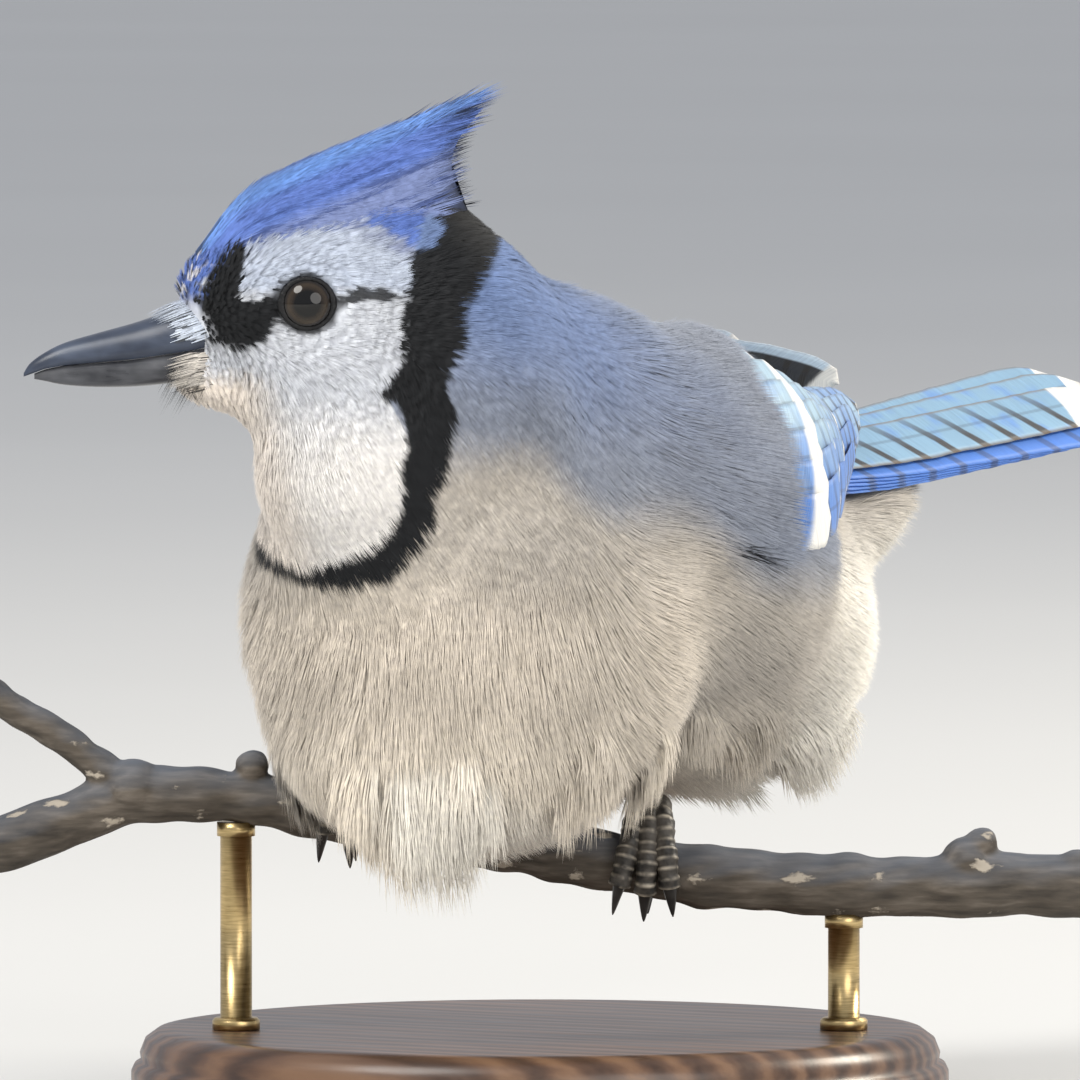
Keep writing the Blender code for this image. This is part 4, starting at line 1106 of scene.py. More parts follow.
@dataclass
class FeatherBed:
    """Feathers laid over a surface, each by its root, middle and tip.

    places and outwards hold three rows for each feather, lift the height at root and tip.
    """

    places: Array
    outwards: Array
    length: Array
    lift: Array
    patch: Array

    def pick(self, keep: Array | slice) -> FeatherBed:
        """Return the bed with only some of its feathers."""
        return FeatherBed(*(getattr(self, part.name)[keep] for part in fields(self)))

    def lay(self, pile: MeshPile, barbs: int, rows: int, look: Callable[[Array], Array],
            rng: Random, wide: float = 0.25, thick: float = 1.0) -> None:
        """Add every feather's barbs to a pile.

        Args:
            pile: The pile to add to.
            barbs: Number of barbs in each feather.
            rows: Number of rings along a barb before its tip.
            look: Gives the colours of places.
            rng: Source of the random draws.
            wide: Half width of a feather as a share of its length.
            thick: How much thicker each barb is than the plain measure.
        """
        count = len(self.places)
        draw = rng.random((9, count, barbs))
        fan = rng.random((4, count, 1))
        soft = ease((self.length - 3.5) / 6.0)[:, None]
        across = np.linspace(-1.0, 1.0, barbs) + (draw[0] - 0.5) * 3.0 / barbs
        uneven = 1.0 + (draw[1] - 0.5) * (0.25 + 0.3 * soft)
        reach = np.minimum((0.64 + 0.40 * np.cos(1.2 * across)) * uneven, 1.16)
        start = 0.25 * draw[2]
        lateral = self.length[:, None] * wide * (0.85 + 0.3 * fan[0]) * across
        curl = (draw[3] - 0.5) * (0.05 + 0.13 * soft) * self.length[:, None]
        shares = np.linspace(0.0, 1.0, rows + 1)
        along = start[..., None] + (reach - start)[..., None] * shares
        weights = np.stack(bend_weights(along), axis=-1)
        centre = np.einsum("nbrk,nkc->nbrc", weights, self.places)
        outward = unit(np.einsum("nbrk,nkc->nbrc", np.clip(weights, -0.1, 1.0), self.outwards))
        flow = unit(self.places[:, 2] - self.places[:, 0])[:, None, None]
        side = unit(np.cross(outward, flow))
        sideways = lateral[..., None] * (0.55 + 0.45 * shares) + curl[..., None] * shares ** 2
        root = self.lift[:, :1, None]
        tip = self.lift[:, 1:, None] * (0.74 + 0.26 * fan[1][..., None] + 0.16 * draw[4][..., None])
        droop = 0.25 * (across ** 2 * self.lift[:, 1:])[..., None] * shares
        height = root + (tip - root) * shares ** 0.8 - droop
        line = centre + side * sideways[..., None] + outward * height[..., None]
        half = (0.085 + 0.011 * np.minimum(self.length, 9.0))[:, None] * (0.75 + 0.5 * draw[5]) * thick
        places = (line[:, :, -1] * 0.7 + line[:, :, -2] * 0.3).reshape(-1, 3)
        places = places + ((fan[2:4] - 0.5) * 0.5).sum(axis=0).repeat(barbs)[:, None] * UP
        tone = (1.0 + 0.07 * (fan[0] - 0.5) + 0.16 * (draw[6] - 0.5)) * np.where(draw[7] < 0.05, 0.84, 1.0)
        colour = look(places) * tone.reshape(-1, 1)
        patch = self.patch[:, None] + 0.0012 * np.stack((across, across * 0.0), axis=-1)
        shape = (-1, rows + 1, 3)
        add_strands(pile, line.reshape(shape), outward.reshape(shape), half.reshape(-1), colour,
                    patch.reshape(-1, 2))


def add_strands(pile: MeshPile, line: Array, outward: Array, half: Array, colour: Array,
                patch: Array) -> None:
    """Add closed tapered strands to a pile.

    Args:
        pile: The pile to add to.
        line: Places along each strand, root first.
        outward: Directions away from the body at those places.
        half: Half width of each strand at its root.
        colour: Colour of each strand.
        patch: Place of each strand in the OFBake map.
    """
    count = len(line)
    rows = line.shape[1] - 1
    along = unit(np.gradient(line, axis=1))
    cross = unit(np.cross(along, outward))
    top = np.cross(cross, along)
    width = (half[:, None] * (1.0 - 0.45 * np.arange(rows) / rows))[..., None]
    base = line[:, :rows]
    rings = np.stack((base - cross[:, :rows] * width, base + cross[:, :rows] * width,
                      base + top[:, :rows] * width * 0.8), axis=2)
    points = np.concatenate((rings.reshape(count, rows * 3, 3), line[:, rows:]), axis=1)
    lean = np.tile(np.array((-0.26, 0.26, 0.0)), rows)[None, :, None]
    spread = np.repeat(cross[:, :rows], 3, axis=1) * lean + np.repeat(top[:, :rows] * 0.45, 3, axis=1)
    normals = np.repeat(outward[:, :rows], 3, axis=1) + spread
    normals = np.concatenate((normals, outward[:, rows:] + top[:, rows:] * 0.45), axis=1)
    shares = np.repeat(np.arange(rows) / rows, 3)
    # Each strand is painted darker towards its root, as painted shade under the feathers that cover it, and
    # a little brighter at the tip, as painted light.
    shade = np.concatenate((0.88 + 0.15 * shares, [1.05]))
    colours = colour[:, None] * shade[None, :, None]
    reach = np.concatenate((shares, [1.0]))[None, :, None] * np.array((0.0, 0.0014))
    faces = strand_faces(rows)[None] + (np.arange(count) * (rows * 3 + 1))[:, None, None]
    pile.add(points.reshape(-1, 3), faces.reshape(-1, 3), markings=colours.reshape(-1, 3),
             OFBake=(patch[:, None] + reach).reshape(-1, 2), normals=unit(normals).reshape(-1, 3))


def bed_along(flesh: Flesh, spots: Array, outwards: Array, low: float, high: Array | float) -> FeatherBed:
    """Make a bed of feathers as long as their way, with the heights of root and tip."""
    length = np.linalg.norm(spots[:, 2] - spots[:, 0], axis=1)
    lift = np.stack((np.full(len(spots), low), np.broadcast_to(high, len(spots))), axis=1)
    return FeatherBed(spots, outwards, length, lift, flesh.unwrap(spots[:, 0]))


@dataclass
class Coat:
    """The body feathers: beds of barbs that follow the lie of the coat."""

    flesh: Flesh
    markings: Markings
    locks: tuple = (
        (-3, -50, 51, 11), (3, -52, 50, 14), (7, -51, 49, 15), (11, -50, 50, 13), (16, -47, 52, 10),
        (29, -34, 54, 10), (34, -16, 53, 9), (34, 2, 51, 10), (32, 19, 49, 11), (28, 36, 48, 12),
        (22, 51, 50, 13), (-29, -34, 54, 10), (-34, -16, 53, 9), (-34, 2, 51, 10), (-32, 19, 49, 11),
        (-28, 36, 48, 12), (-22, 51, 50, 13), (8, 62, 55, 14), (-7, 63, 54, 14), (0, 50, 47, 13),
    )
    piece_limit: int = 190000
    tries: int = 52000
    in_lock: int = 14
    head_reach: float = 1.16
    fineness: dict = field(default_factory=lambda: {
        "coat_head": (24, 1, 1.05), "coat_body": (37, 1, 0.84), "coat_locks": (36, 2, 0.74),
    })

    def lie(self, points: Array, normals: Array) -> Array:
        """Return the direction in which feathers lie, along the surface.

        Args:
            points: Roots in mm.
            normals: Surface directions at the roots.

        Returns:
            Unit directions.
        """
        ahead, _, up = self.markings.head_measures(points)
        headness = self.markings.headness(points)
        front = ease((-normals[:, 1] - 0.1) / 0.7)
        low = ease((70.0 - points[:, 2]) / 25.0)
        body = np.zeros_like(points)
        body[:, 1] = 1.0 - 0.8 * front
        body[:, 2] = -0.42 - 0.9 * front - 0.25 * low + 0.3 * ease((points[:, 1] - 40.0) / 20.0)
        body[:, 0] = 0.12 * np.sign(points[:, 0])
        head = np.tile(ACROSS, (len(points), 1))
        head[:, 2] = 0.42 * ease((up - 2.0) / 7.0) - 0.10 - 1.25 * ease((-3.0 - up) / 12.0)
        head[:, 2] += 0.6 * ease((ahead - 6.0) / 8.0) * ease((up + 4.0) / 6.0)
        flow = blend(head, body, ease((headness - 1.0) / 0.35))
        flow += 0.12 * np.stack([mottle(points, 13.0, value) for value in (1.0, 2.0, 3.0)], axis=1)
        flow += 0.07 * np.stack([mottle(points, 3.5, value) for value in (4.0, 5.0, 6.0)], axis=1)
        return along_surface(flow, normals)

    def spacing(self, points: Array) -> Array:
        """Return how far apart roots are, in mm."""
        ahead = self.markings.head_measures(points)[0]
        fine = 0.88 - 0.2 * ease((ahead - 4.0) / 10.0)
        return fine + (1.85 - fine) * ease((self.markings.headness(points) - 1.02) / 0.5)

    def length(self, points: Array) -> Array:
        """Return the length of the feathers, in mm."""
        ahead, _, up = self.markings.head_measures(points)
        head = 3.6 - 1.7 * ease((ahead - 4.0) / 10.0) + 2.4 * ease((-12.0 - up) / 12.0)
        head += 1.6 * ease((up - 11.0) / 5.0) - 1.4 * ease((9.0 - np.hypot(ahead, up)) / 4.0)
        body = 8.0 + 3.0 * ease((64.0 - points[:, 2]) / 16.0) + 2.0 * ease((points[:, 1] - 45.0) / 20.0)
        head = np.maximum(head, 1.3)
        return head + (body - head) * ease((self.markings.headness(points) - 1.05) / 0.5)

    def roots(self) -> tuple[Array, Array]:
        """Spread roots over the skin, closer on the head.

        Returns:
            The roots and the surface directions there.
        """
        rng = np.random.default_rng(SEED)
        corners = self.flesh.points[self.flesh.triangles]
        area = np.linalg.norm(np.cross(corners[:, 1] - corners[:, 0], corners[:, 2] - corners[:, 0]), axis=1)
        weight = area / self.spacing(corners.mean(axis=1)) ** 2
        picks = rng.choice(len(area), size=self.tries, p=weight / weight.sum())
        shares = rng.random((len(picks), 2))
        flip = shares.sum(axis=1) > 1.0
        shares[flip] = 1.0 - shares[flip]
        chosen = corners[picks]
        points = (chosen[:, 0] + (chosen[:, 1] - chosen[:, 0]) * shares[:, :1]
                  + (chosen[:, 2] - chosen[:, 0]) * shares[:, 1:])
        normals = unit(self.flesh.normals[self.flesh.triangles[picks]].mean(axis=1))
        keep = self.thin(points, self.spacing(points))
        return points[keep], normals[keep]

    def thin(self, points: Array, spacing: Array) -> Array:
        """Drop roots that lie too close to one that was kept.

        Args:
            points: Roots in mm, in random order.
            spacing: Least distance at each root.

        Returns:
            The numbers of the roots that stay.
        """
        cells: dict[tuple[int, int, int], list[int]] = {}
        kept = []
        keys = np.floor(points / 2.0).astype(int).tolist()
        places = points.tolist()
        for number, (i, j, k) in enumerate(keys):
            x, y, z = places[number]
            limit = spacing[number] ** 2
            around = (other for a in (i - 1, i, i + 1) for b in (j - 1, j, j + 1) for c in (k - 1, k, k + 1)
                      for other in cells.get((a, b, c), ()))
            if all((places[other][0] - x) ** 2 + (places[other][1] - y) ** 2 + (places[other][2] - z) ** 2
                   >= limit for other in around):
                kept.append(number)
                cells.setdefault((i, j, k), []).append(number)
        return np.array(kept)

    def on_skin(self, points: Array) -> tuple[Array, Array]:
        """Return the nearest places on the skin and the directions there."""
        found = [self.flesh.tree.find_nearest(Vector(point)) for point in points]
        return np.array([tuple(hit[0]) for hit in found]), np.array([tuple(hit[1]) for hit in found])

    def follow(self, roots: Array, normals: Array, flow: Array, length: Array, loose: Array) -> FeatherBed:
        """Lead feathers along the skin from their roots.

        Args:
            roots: Roots in mm.
            normals: Surface directions at the roots.
            flow: Directions at the roots.
            length: Lengths in mm.
            loose: Share by which each tip leaves the skin.

        Returns:
            The bed.
        """
        half = length[:, None] * 0.5
        middle, middle_out = self.on_skin(roots + flow * half)
        free = middle + along_surface(middle - roots, middle_out) * half
        tip, tip_out = self.on_skin(free)
        tip = blend(tip, free - UP * 0.12 * length[:, None], loose)
        depth = self.flesh.depth(roots)
        lift = np.stack((np.full(len(roots), -0.25), depth * 0.88), axis=1)
        outwards = unit(np.stack((normals, middle_out + normals * 0.3, tip_out + middle_out * 0.5), axis=1))
        return FeatherBed(np.stack((roots, middle, tip), axis=1), outwards, length, lift,
                          self.flesh.unwrap(roots))

    def clear_of_features(self, bed: FeatherBed) -> Array:
        """Tell which feathers stay clear of the eyes, the bill and the branch."""
        keep = np.ones(len(bed.places), bool)
        for step in (0, 2):
            places = bed.places[:, step] + bed.outwards[:, step] * 0.8
            ahead, side, up = self.markings.head_measures(places)
            keep &= ~((np.hypot(ahead, up) < 4.15) & (np.abs(side) > 7.0))
            keep &= ~((ahead > 16.5) & (np.abs(side) < 5.2) & (up < -0.6) & (up > -11.8))
            reach = places @ ACROSS
            height = np.interp(reach, [row[0] for row in BRANCH_LINE], [row[1] for row in BRANCH_LINE])
            gap = np.hypot(places @ NEAR - BRANCH_DEPTH, places[:, 2] - height)
            keep &= ~((gap < 5.3) & (np.abs(reach) < 88.0))
        return keep

    def lock_bed(self, rng: Random) -> FeatherBed:
        """Return the bed of the loose locks on the belly, the flanks and the vent."""
        roots = []
        lengths = []
        for across, along, height, length in self.locks:
            for _ in range(self.in_lock):
                shift = (rng.random(3) - 0.5) * np.array((8.0, 5.0, 13.0))
                roots.append(np.array((across, along, height)) + shift)
                lengths.append(length * (0.75 + 0.4 * rng.random()))
        places, normals = self.on_skin(np.array(roots))
        length = np.array(lengths)
        rear = np.clip((places[:, 1] + 40.0) / 90.0, 0.0, 1.0)
        sway = 0.1 * (rng.random(len(rear)) - 0.5)
        flow = np.stack((sway, 0.15 + 0.95 * rear, -1.0 + 0.55 * rear), axis=1)
        flow = along_surface(flow, normals)
        bed = self.follow(places, normals, flow, length, np.ones(len(length)))
        down = unit(flow - UP * 0.6)
        bed.places[:, 1] = places + flow * length[:, None] * 0.45 + normals * 1.4
        bed.places[:, 2] = bed.places[:, 1] + down * length[:, None] * 0.5
        bed.outwards[:, 2] = bed.outwards[:, 1]
        return bed

    def join(self, beds: Sequence[FeatherBed]) -> FeatherBed:
        """Join beds into one, in order of place."""
        bed = FeatherBed(*(np.concatenate([getattr(bed, part.name) for bed in beds])
                           for part in fields(FeatherBed)))
        root = bed.places[:, 0]
        return bed.pick(np.lexsort((root[:, 2], np.floor(root[:, 1] / 30.0))))

    def pieces(self, bed: FeatherBed, name: str, material: Material, rng: Random) -> None:
        """Build a bed as pieces that stay under the limit of triangles."""
        barbs, rows, thick = self.fineness[name]
        bed = bed.pick(self.clear_of_features(bed))
        size = self.piece_limit // (len(strand_faces(rows)) * barbs)
        for number, start in enumerate(range(0, len(bed.places), size)):
            pile = MeshPile()
            part = bed.pick(slice(start, start + size))
            part.lay(pile, barbs, rows, self.markings.colour, rng, thick=thick)
            enter(pile.build(f"{name}_{number + 1}", material), Finish.BODY)

    def build(self, material: Material, wings: Sequence[FeatherBed]) -> None:
        """Build the head's and the body's feathers, with those that cover the wings' roots."""
        rng = np.random.default_rng(SEED + 1)
        points, normals = self.roots()
        flow = self.lie(points, normals)
        length = self.length(points) * (0.85 + 0.3 * rng.random(len(points)))
        low = ease((58.0 - points[:, 2]) / 10.0) + ease((points[:, 1] - 44.0) / 16.0)
        loose = np.clip(0.10 + 0.35 * low, 0.0, 0.5) * ease((length - 4.0) / 3.0)
        bed = self.follow(points, normals, flow, length, loose)
        head = self.markings.headness(points) < self.head_reach
        LOG.info("roots: %d on the head, %d on the body", head.sum(), (~head).sum())
        self.pieces(bed.pick(head), "coat_head", material, rng)
        body = self.join((bed.pick(~head), *wings))
        self.pieces(body, "coat_body", material, rng)
        self.pieces(self.lock_bed(rng), "coat_locks", material, rng)


@dataclass
class Crest:
    """The raised crest: a solid core with rows of feathers along it.

    Each station holds the top's and the bottom's forward and up measures and the half width.
    """

    markings: Markings
    flesh: Flesh
    stations: tuple = (
        (17.8, 5.6, 15.5, 3.0, 1.2), (12.2, 13.1, 9.8, 6.0, 5.0), (8.4, 16.5, 6.0, 8.0, 7.0),
        (3.5, 19.4, 1.0, 9.0, 8.4), (-2.0, 21.7, -5.0, 9.5, 8.9), (-7.6, 23.9, -10.0, 10.0, 8.4),
        (-13.9, 26.0, -15.0, 11.0, 7.4), (-20.6, 28.4, -20.0, 12.4, 5.8), (-27.4, 31.0, -24.6, 13.8, 3.0),
    )
    hollow: float = 3.6
    feathers: int = 1150
    barbs: int = 14
    rows: int = 2
    sides: int = 25

    def place(self, along: Array, around: Array, grow: float = 0.0) -> Array:
        """Return places on the crest's shell.

        Args:
            along: Share of the way from the forehead to the tips.
            around: Angle from the ridge, -1 on one side to 1 on the other.
            grow: Distance outside the shell.

        Returns:
            Places in mm.
        """
        table = np.array(self.stations)
        place = np.clip(along, 0.0, 1.02) * (len(table) - 1)
        index = np.minimum(place.astype(int), len(table) - 2)
        row = curve_row(table, index, (place - index)[..., None])
        turn = around * math.pi / 2.0
        rise = np.abs(np.cos(turn)) ** 0.8
        ahead = row[..., 2] + (row[..., 0] - row[..., 2]) * rise
        ahead = ahead + self.hollow * np.sin(math.pi * rise) * ease((along - 0.55) / 0.45)
        up = row[..., 3] + (row[..., 1] - row[..., 3]) * rise + grow * np.cos(turn)
        left = (row[..., 4] + grow) * np.sin(turn)
        return HEAD_CENTRE - ACROSS * ahead[..., None] + NEAR * left[..., None] + UP * up[..., None]

    def outward(self, along: Array, around: Array) -> Array:
        """Return the directions away from the crest's core."""
        ahead = self.place(along + 0.02, around) - self.place(along - 0.02, around)
        aside = self.place(along, around + 0.05) - self.place(along, around - 0.05)
        normal = unit(np.cross(aside, ahead))
        return normal * np.sign(np.sum(normal * (self.place(along, around, 1.0) - self.place(along, around)),
                                       axis=-1, keepdims=True))

    def colour(self, places: Array) -> Array:
        """Return the crest's colours: blue with dark streaks, a painted highlight of lighter blue at the
        top, greyer low down, dark behind.
        """
        ahead, left, up = self.markings.head_measures(places)
        line = up + 0.44 * ahead
        streak = mottle(np.stack((line, line * 0.3, left * 0.4), axis=1), 0.55, 3.0)
        colour = np.tile(np.array(self.markings.crown), (len(places), 1))
        # Lighter blue towards the crest's top is a painted highlight.
        colour = blend(colour, self.markings.crown_light, ease((line - 17.0) / 3.0) * 0.75)
        colour = blend(colour, self.markings.crown_grey, ease((14.6 - line + 0.5 * streak) / 3.0) * 0.6)
        colour = blend(colour, (0.03, 0.06, 0.22), ease((streak - 0.35) / 0.5) * 0.75)
        rear = ease((-19.6 - ahead) / 3.0) * ease((30.5 - up) / 2.5)
        return blend(colour, self.markings.black, rear * ease((streak + 0.55) / 0.6) * 0.9)

    def build(self, material: Material) -> None:
        """Build the core and the feathers."""
        rng = np.random.default_rng(SEED + 5)
        turns = np.linspace(-1.0, 1.0, self.sides)
        rings = [list(self.place(np.full(self.sides, share), turns, -0.7 - share))
                 for share in np.linspace(0.0, 0.97, 30)]
        mesh_edit = bmesh.new()
        extrude_rings(mesh_edit, rings)
        bmesh.ops.triangulate(mesh_edit, faces=[face for face in mesh_edit.faces if len(face.verts) > 4])
        core = mesh_object("crest_core", mesh_edit, material)
        places = np.array([tuple(vert.co) for vert in core.data.vertices]) / MM
        # The core takes the crest's colours 15% darker, as painted shade under the plumes.
        paint(core, self.colour(places) * 0.85)
        enter(core, Finish.CREST, "crest")
        count = self.feathers
        length = 0.24 + 0.10 * rng.random(count)
        start = rng.random(count) * (1.0 - length)
        around = 0.98 * (2.0 * rng.random(count) - 1.0)
        slip = 0.06 * (rng.random(count) - 0.5)
        steps = [(start + length * share, around + slip * share) for share in (0.0, 0.5, 1.0)]
        spots = np.stack([self.place(*step) for step in steps], axis=1)
        outwards = np.stack([self.outward(*step) for step in steps], axis=1)
        pile = MeshPile()
        bed = bed_along(self.flesh, spots, outwards, -0.5, 0.45)
        bed.lay(pile, self.barbs, self.rows, self.colour, rng, 0.12)
        enter(pile.build("crest_plumes", material), Finish.CREST)


@dataclass
class Vane:
    """One flight feather's line and widths, ready to be laid as a closed sheet."""

    centre: Array
    side: Array
    normal: Array
    half: Array
    length: float
    bars: float
    tips: float
    tint: float


@dataclass
class VanePile:
    """Lays vanes as thin closed sheets with their own strips in the OFBake map."""

    columns: int = 8
    thickness: float = 0.28
    curve: float = 0.10
    pile: MeshPile = field(default_factory=MeshPile)
    laid: int = 0
    strips: int = 8

    def lay(self, vane: Vane, rng: Random) -> None:
        """Add one vane.

        Args:
            vane: The vane's line, widths and look.
            rng: Source of the random draws.
        """
        rows = len(vane.centre)
        across = np.linspace(-1.0, 1.0, self.columns + 1)
        nick = 1.0 + 0.05 * (rng.random((rows, 2)) - 0.5)
        width = vane.half[:, None] * np.where(across < 0.0, nick[:, :1], nick[:, 1:]) * across
        crown = -self.curve * vane.half[:, None] * across ** 2
        top = (vane.centre[:, None] + vane.side[:, None] * width[..., None]
               + vane.normal[:, None] * crown[..., None])
        thin = self.thickness * (1.0 - 0.7 * np.abs(across)) * np.ones((rows, 1))
        bottom = top - vane.normal[:, None] * thin[..., None]
        share = np.linspace(0.0, 1.0, rows)
        grid = np.arange(rows * (self.columns + 1)).reshape(rows, self.columns + 1)
        a, b = grid[:-1, :-1].ravel(), grid[:-1, 1:].ravel()
        c, d = grid[1:, 1:].ravel(), grid[1:, :-1].ravel()
        upper = np.concatenate((np.stack((a, b, c), 1), np.stack((a, c, d), 1)))
        lower = upper[:, ::-1] + grid.size
        rim = np.concatenate((grid[0, :-1], grid[:-1, -1], grid[-1, :0:-1], grid[:0:-1, 0]))
        following = np.roll(rim, -1)
        walls = np.concatenate((np.stack((rim, rim + grid.size, following), 1),
                                np.stack((following, rim + grid.size, following + grid.size), 1)))
        faces = np.concatenate((upper, lower, walls))
        along = vane.centre[1] - vane.centre[0]
        if np.cross(vane.side[0], along) @ vane.normal[0] < 0.0:
            faces = faces[:, ::-1]
        points = np.concatenate((top.reshape(-1, 3), bottom.reshape(-1, 3)))
        reach = share * vane.length
        measures = np.broadcast_arrays(across, reach[:, None], (vane.length - reach)[:, None])
        place = np.tile(np.stack(measures, axis=-1).reshape(-1, 3), (2, 1))
        kind = np.tile(np.array((vane.bars, vane.tips, vane.tint)), (len(points), 1))
        column = self.laid % self.strips
        row = self.laid // self.strips
        u = (column + 0.5 + 0.42 * across[None, :] * np.ones((rows, 1))) / self.strips
        v = (row + 0.04 + 0.92 * share[:, None] * np.ones((1, self.columns + 1))) / 9.0
        upper_uv = np.stack((u * 0.5, v), axis=-1).reshape(-1, 2)
        lower_uv = upper_uv + np.array((0.5, 0.0))
        self.pile.add(points, faces, vane=place, kind=kind, OFBake=np.concatenate((upper_uv, lower_uv)))
        self.laid += 1


def vane_outline(shares: Array, root: float = 0.5, rounding: float = 0.2) -> Array:
    """Return a vane's width along it: narrow root, full middle, round tip."""
    start = np.minimum(1.0, root + shares / 0.35 * (1.0 - root))
    tip = np.clip((1.0 - shares) / rounding, 0.0, 1.0)
    return start * np.maximum(0.03, np.sqrt(np.maximum(0.0, 1.0 - (1.0 - tip) ** 2)))


@dataclass
class Wing:
    """One folded wing: coverts, secondaries and primaries over its sheet."""

    name: str
    side: int
    stations: tuple
    flesh: Flesh
    tiers: tuple = (
        (9, 0.25, (0.47, 0.36), 4.2, 1.3, 0.2, 2.0, 1.9), (9, 0.38, (0.62, 0.48), 4.4, 0.9, 0.5, 0.4, 2.2),
        (8, 0.50, (0.79, 0.63), 4.3, 0.6, 0.6, 0.5, 1.9), (6, 0.62, (0.96, 0.82), 3.6, 0.3, 1.0, 0.2, 1.4),
    )
    steps: int = 18
    covers: int = 560

    def covering(self) -> FeatherBed:
        """Return the bed of the soft shoulder feathers that cover the wing's root."""
        rng = np.random.default_rng(SEED + 9 + self.side)
        places = []
        outwards = []
        rises = []
        for _ in range(self.covers):
            down = rng.random() * 1.02
            end = 0.20 + 0.135 * rng.random() ** 0.7 - 0.05 * down
            end += 0.085 * float(ease((0.42 - down) / 0.42))
            steps = [self.sheet(end - 0.085 + 0.0425 * step, down + 0.02 * step) for step in range(3)]
            places.append([point for point, _ in steps])
            outwards.append([normal for _, normal in steps])
            rises.append(2.6 - 0.5 * float(ease((0.5 - down) / 0.4)))
        return bed_along(self.flesh, np.array(places), np.array(outwards), 0.2, np.array(rises))

    def place(self, along: float, down: float) -> Array:
        """Return a point of the wing's outer sheet, with both measures from 0 to 1."""
        rows = self.stations
        reach = rows[0][0] + (rows[-1][0] - rows[0][0]) * along
        flat = np.array([(row[0], *row[1], *row[2], *row[3]) for row in rows], float)
        last = len(flat) - 1
        index = max(step for step in range(last) if step == 0 or flat[step][0] <= reach)
        part = (reach - flat[index][0]) / (flat[index + 1][0] - flat[index][0])
        value = curve_row(flat, index, part)
        first, second, third = bend_weights(down)
        across = value[1] * first + value[3] * second + value[5] * third
        height = value[2] * first + value[4] * second + value[6] * third
        return np.array((across, reach, height))

    def sheet(self, along: float, down: float) -> tuple[Array, Array]:
        """Return a point of the sheet and the direction away from the body."""
        point = self.place(along, down)
        ahead = self.place(min(1.0, along + 0.02), down) - self.place(max(0.0, along - 0.02), down)
        below = self.place(along, min(1.0, down + 0.05)) - self.place(along, max(0.0, down - 0.05))
        normal = unit(np.cross(ahead, below) * -self.side)
        emerge = -3.4 + 4.0 * ease((along - 0.25 + 0.06 * down) / 0.14)
        return point + normal * emerge, normal

    def build(self, material: Material) -> None:
        """Build the wing's feathers."""
        rng = np.random.default_rng(SEED + 7 + self.side)
        vanes = VanePile()
        shares = np.linspace(0.0, 1.0, self.steps + 1)
        for count, start, ends, half, proud, bars, tips, tint in self.tiers:
            for number in range(count):
                inward = 0.95 if self.side < 0 or start > 0.45 else 0.5
                down = (number + inward) / (count + inward - 0.5)
                end = ends[0] + (ends[1] - ends[0]) * down ** 2.2
                end += 0.008 * (rng.random() - 0.5)
                height = 0.25 + 0.75 * float(ease(down / 0.45)) if self.side > 0 else 0.3
                centre = []
                normals = []
                for share in shares:
                    along = start + (end - start) * share
                    point, normal = self.sheet(along, down)
                    layer = 0.55 * (1.0 - down) + 0.10 * (number % 2)
                    lift = -0.8 + (proud + 0.8 + layer) * float(ease(share * 1.3)) * height
                    centre.append(point + normal * lift)
                    normals.append(normal)
                centre = np.array(centre)
                normals = np.array(normals)
                side = unit(np.cross(np.gradient(centre, axis=0), normals)) * self.side
                tilt = unit(normals + side * 0.16)
                side = unit(np.cross(tilt, np.cross(side, tilt)))
                length = float(np.linalg.norm(np.diff(centre, axis=0), axis=1).sum())
                # On the far wing the three upper feathers of the two outer tiers are made near black: dusky
                # inner webs, deepened as painted shade.
                dark = self.side < 0 and number < 3 and bars > 0.0 and start > 0.4
                white = 0.0 if dark and end < 0.7 else 1.4 if dark else tips
                pale = tint if dark else tint * (0.8 + 0.4 * rng.random()) * (1.15 - 1.1 * down ** 2)
                widths = half * vane_outline(shares)
                barred = 2.0 if dark else bars
                vanes.lay(Vane(centre, side, tilt, widths, length, barred, white, pale), rng)
        enter(vanes.pile.build(self.name + "_vanes", material), Finish.WING, self.name)


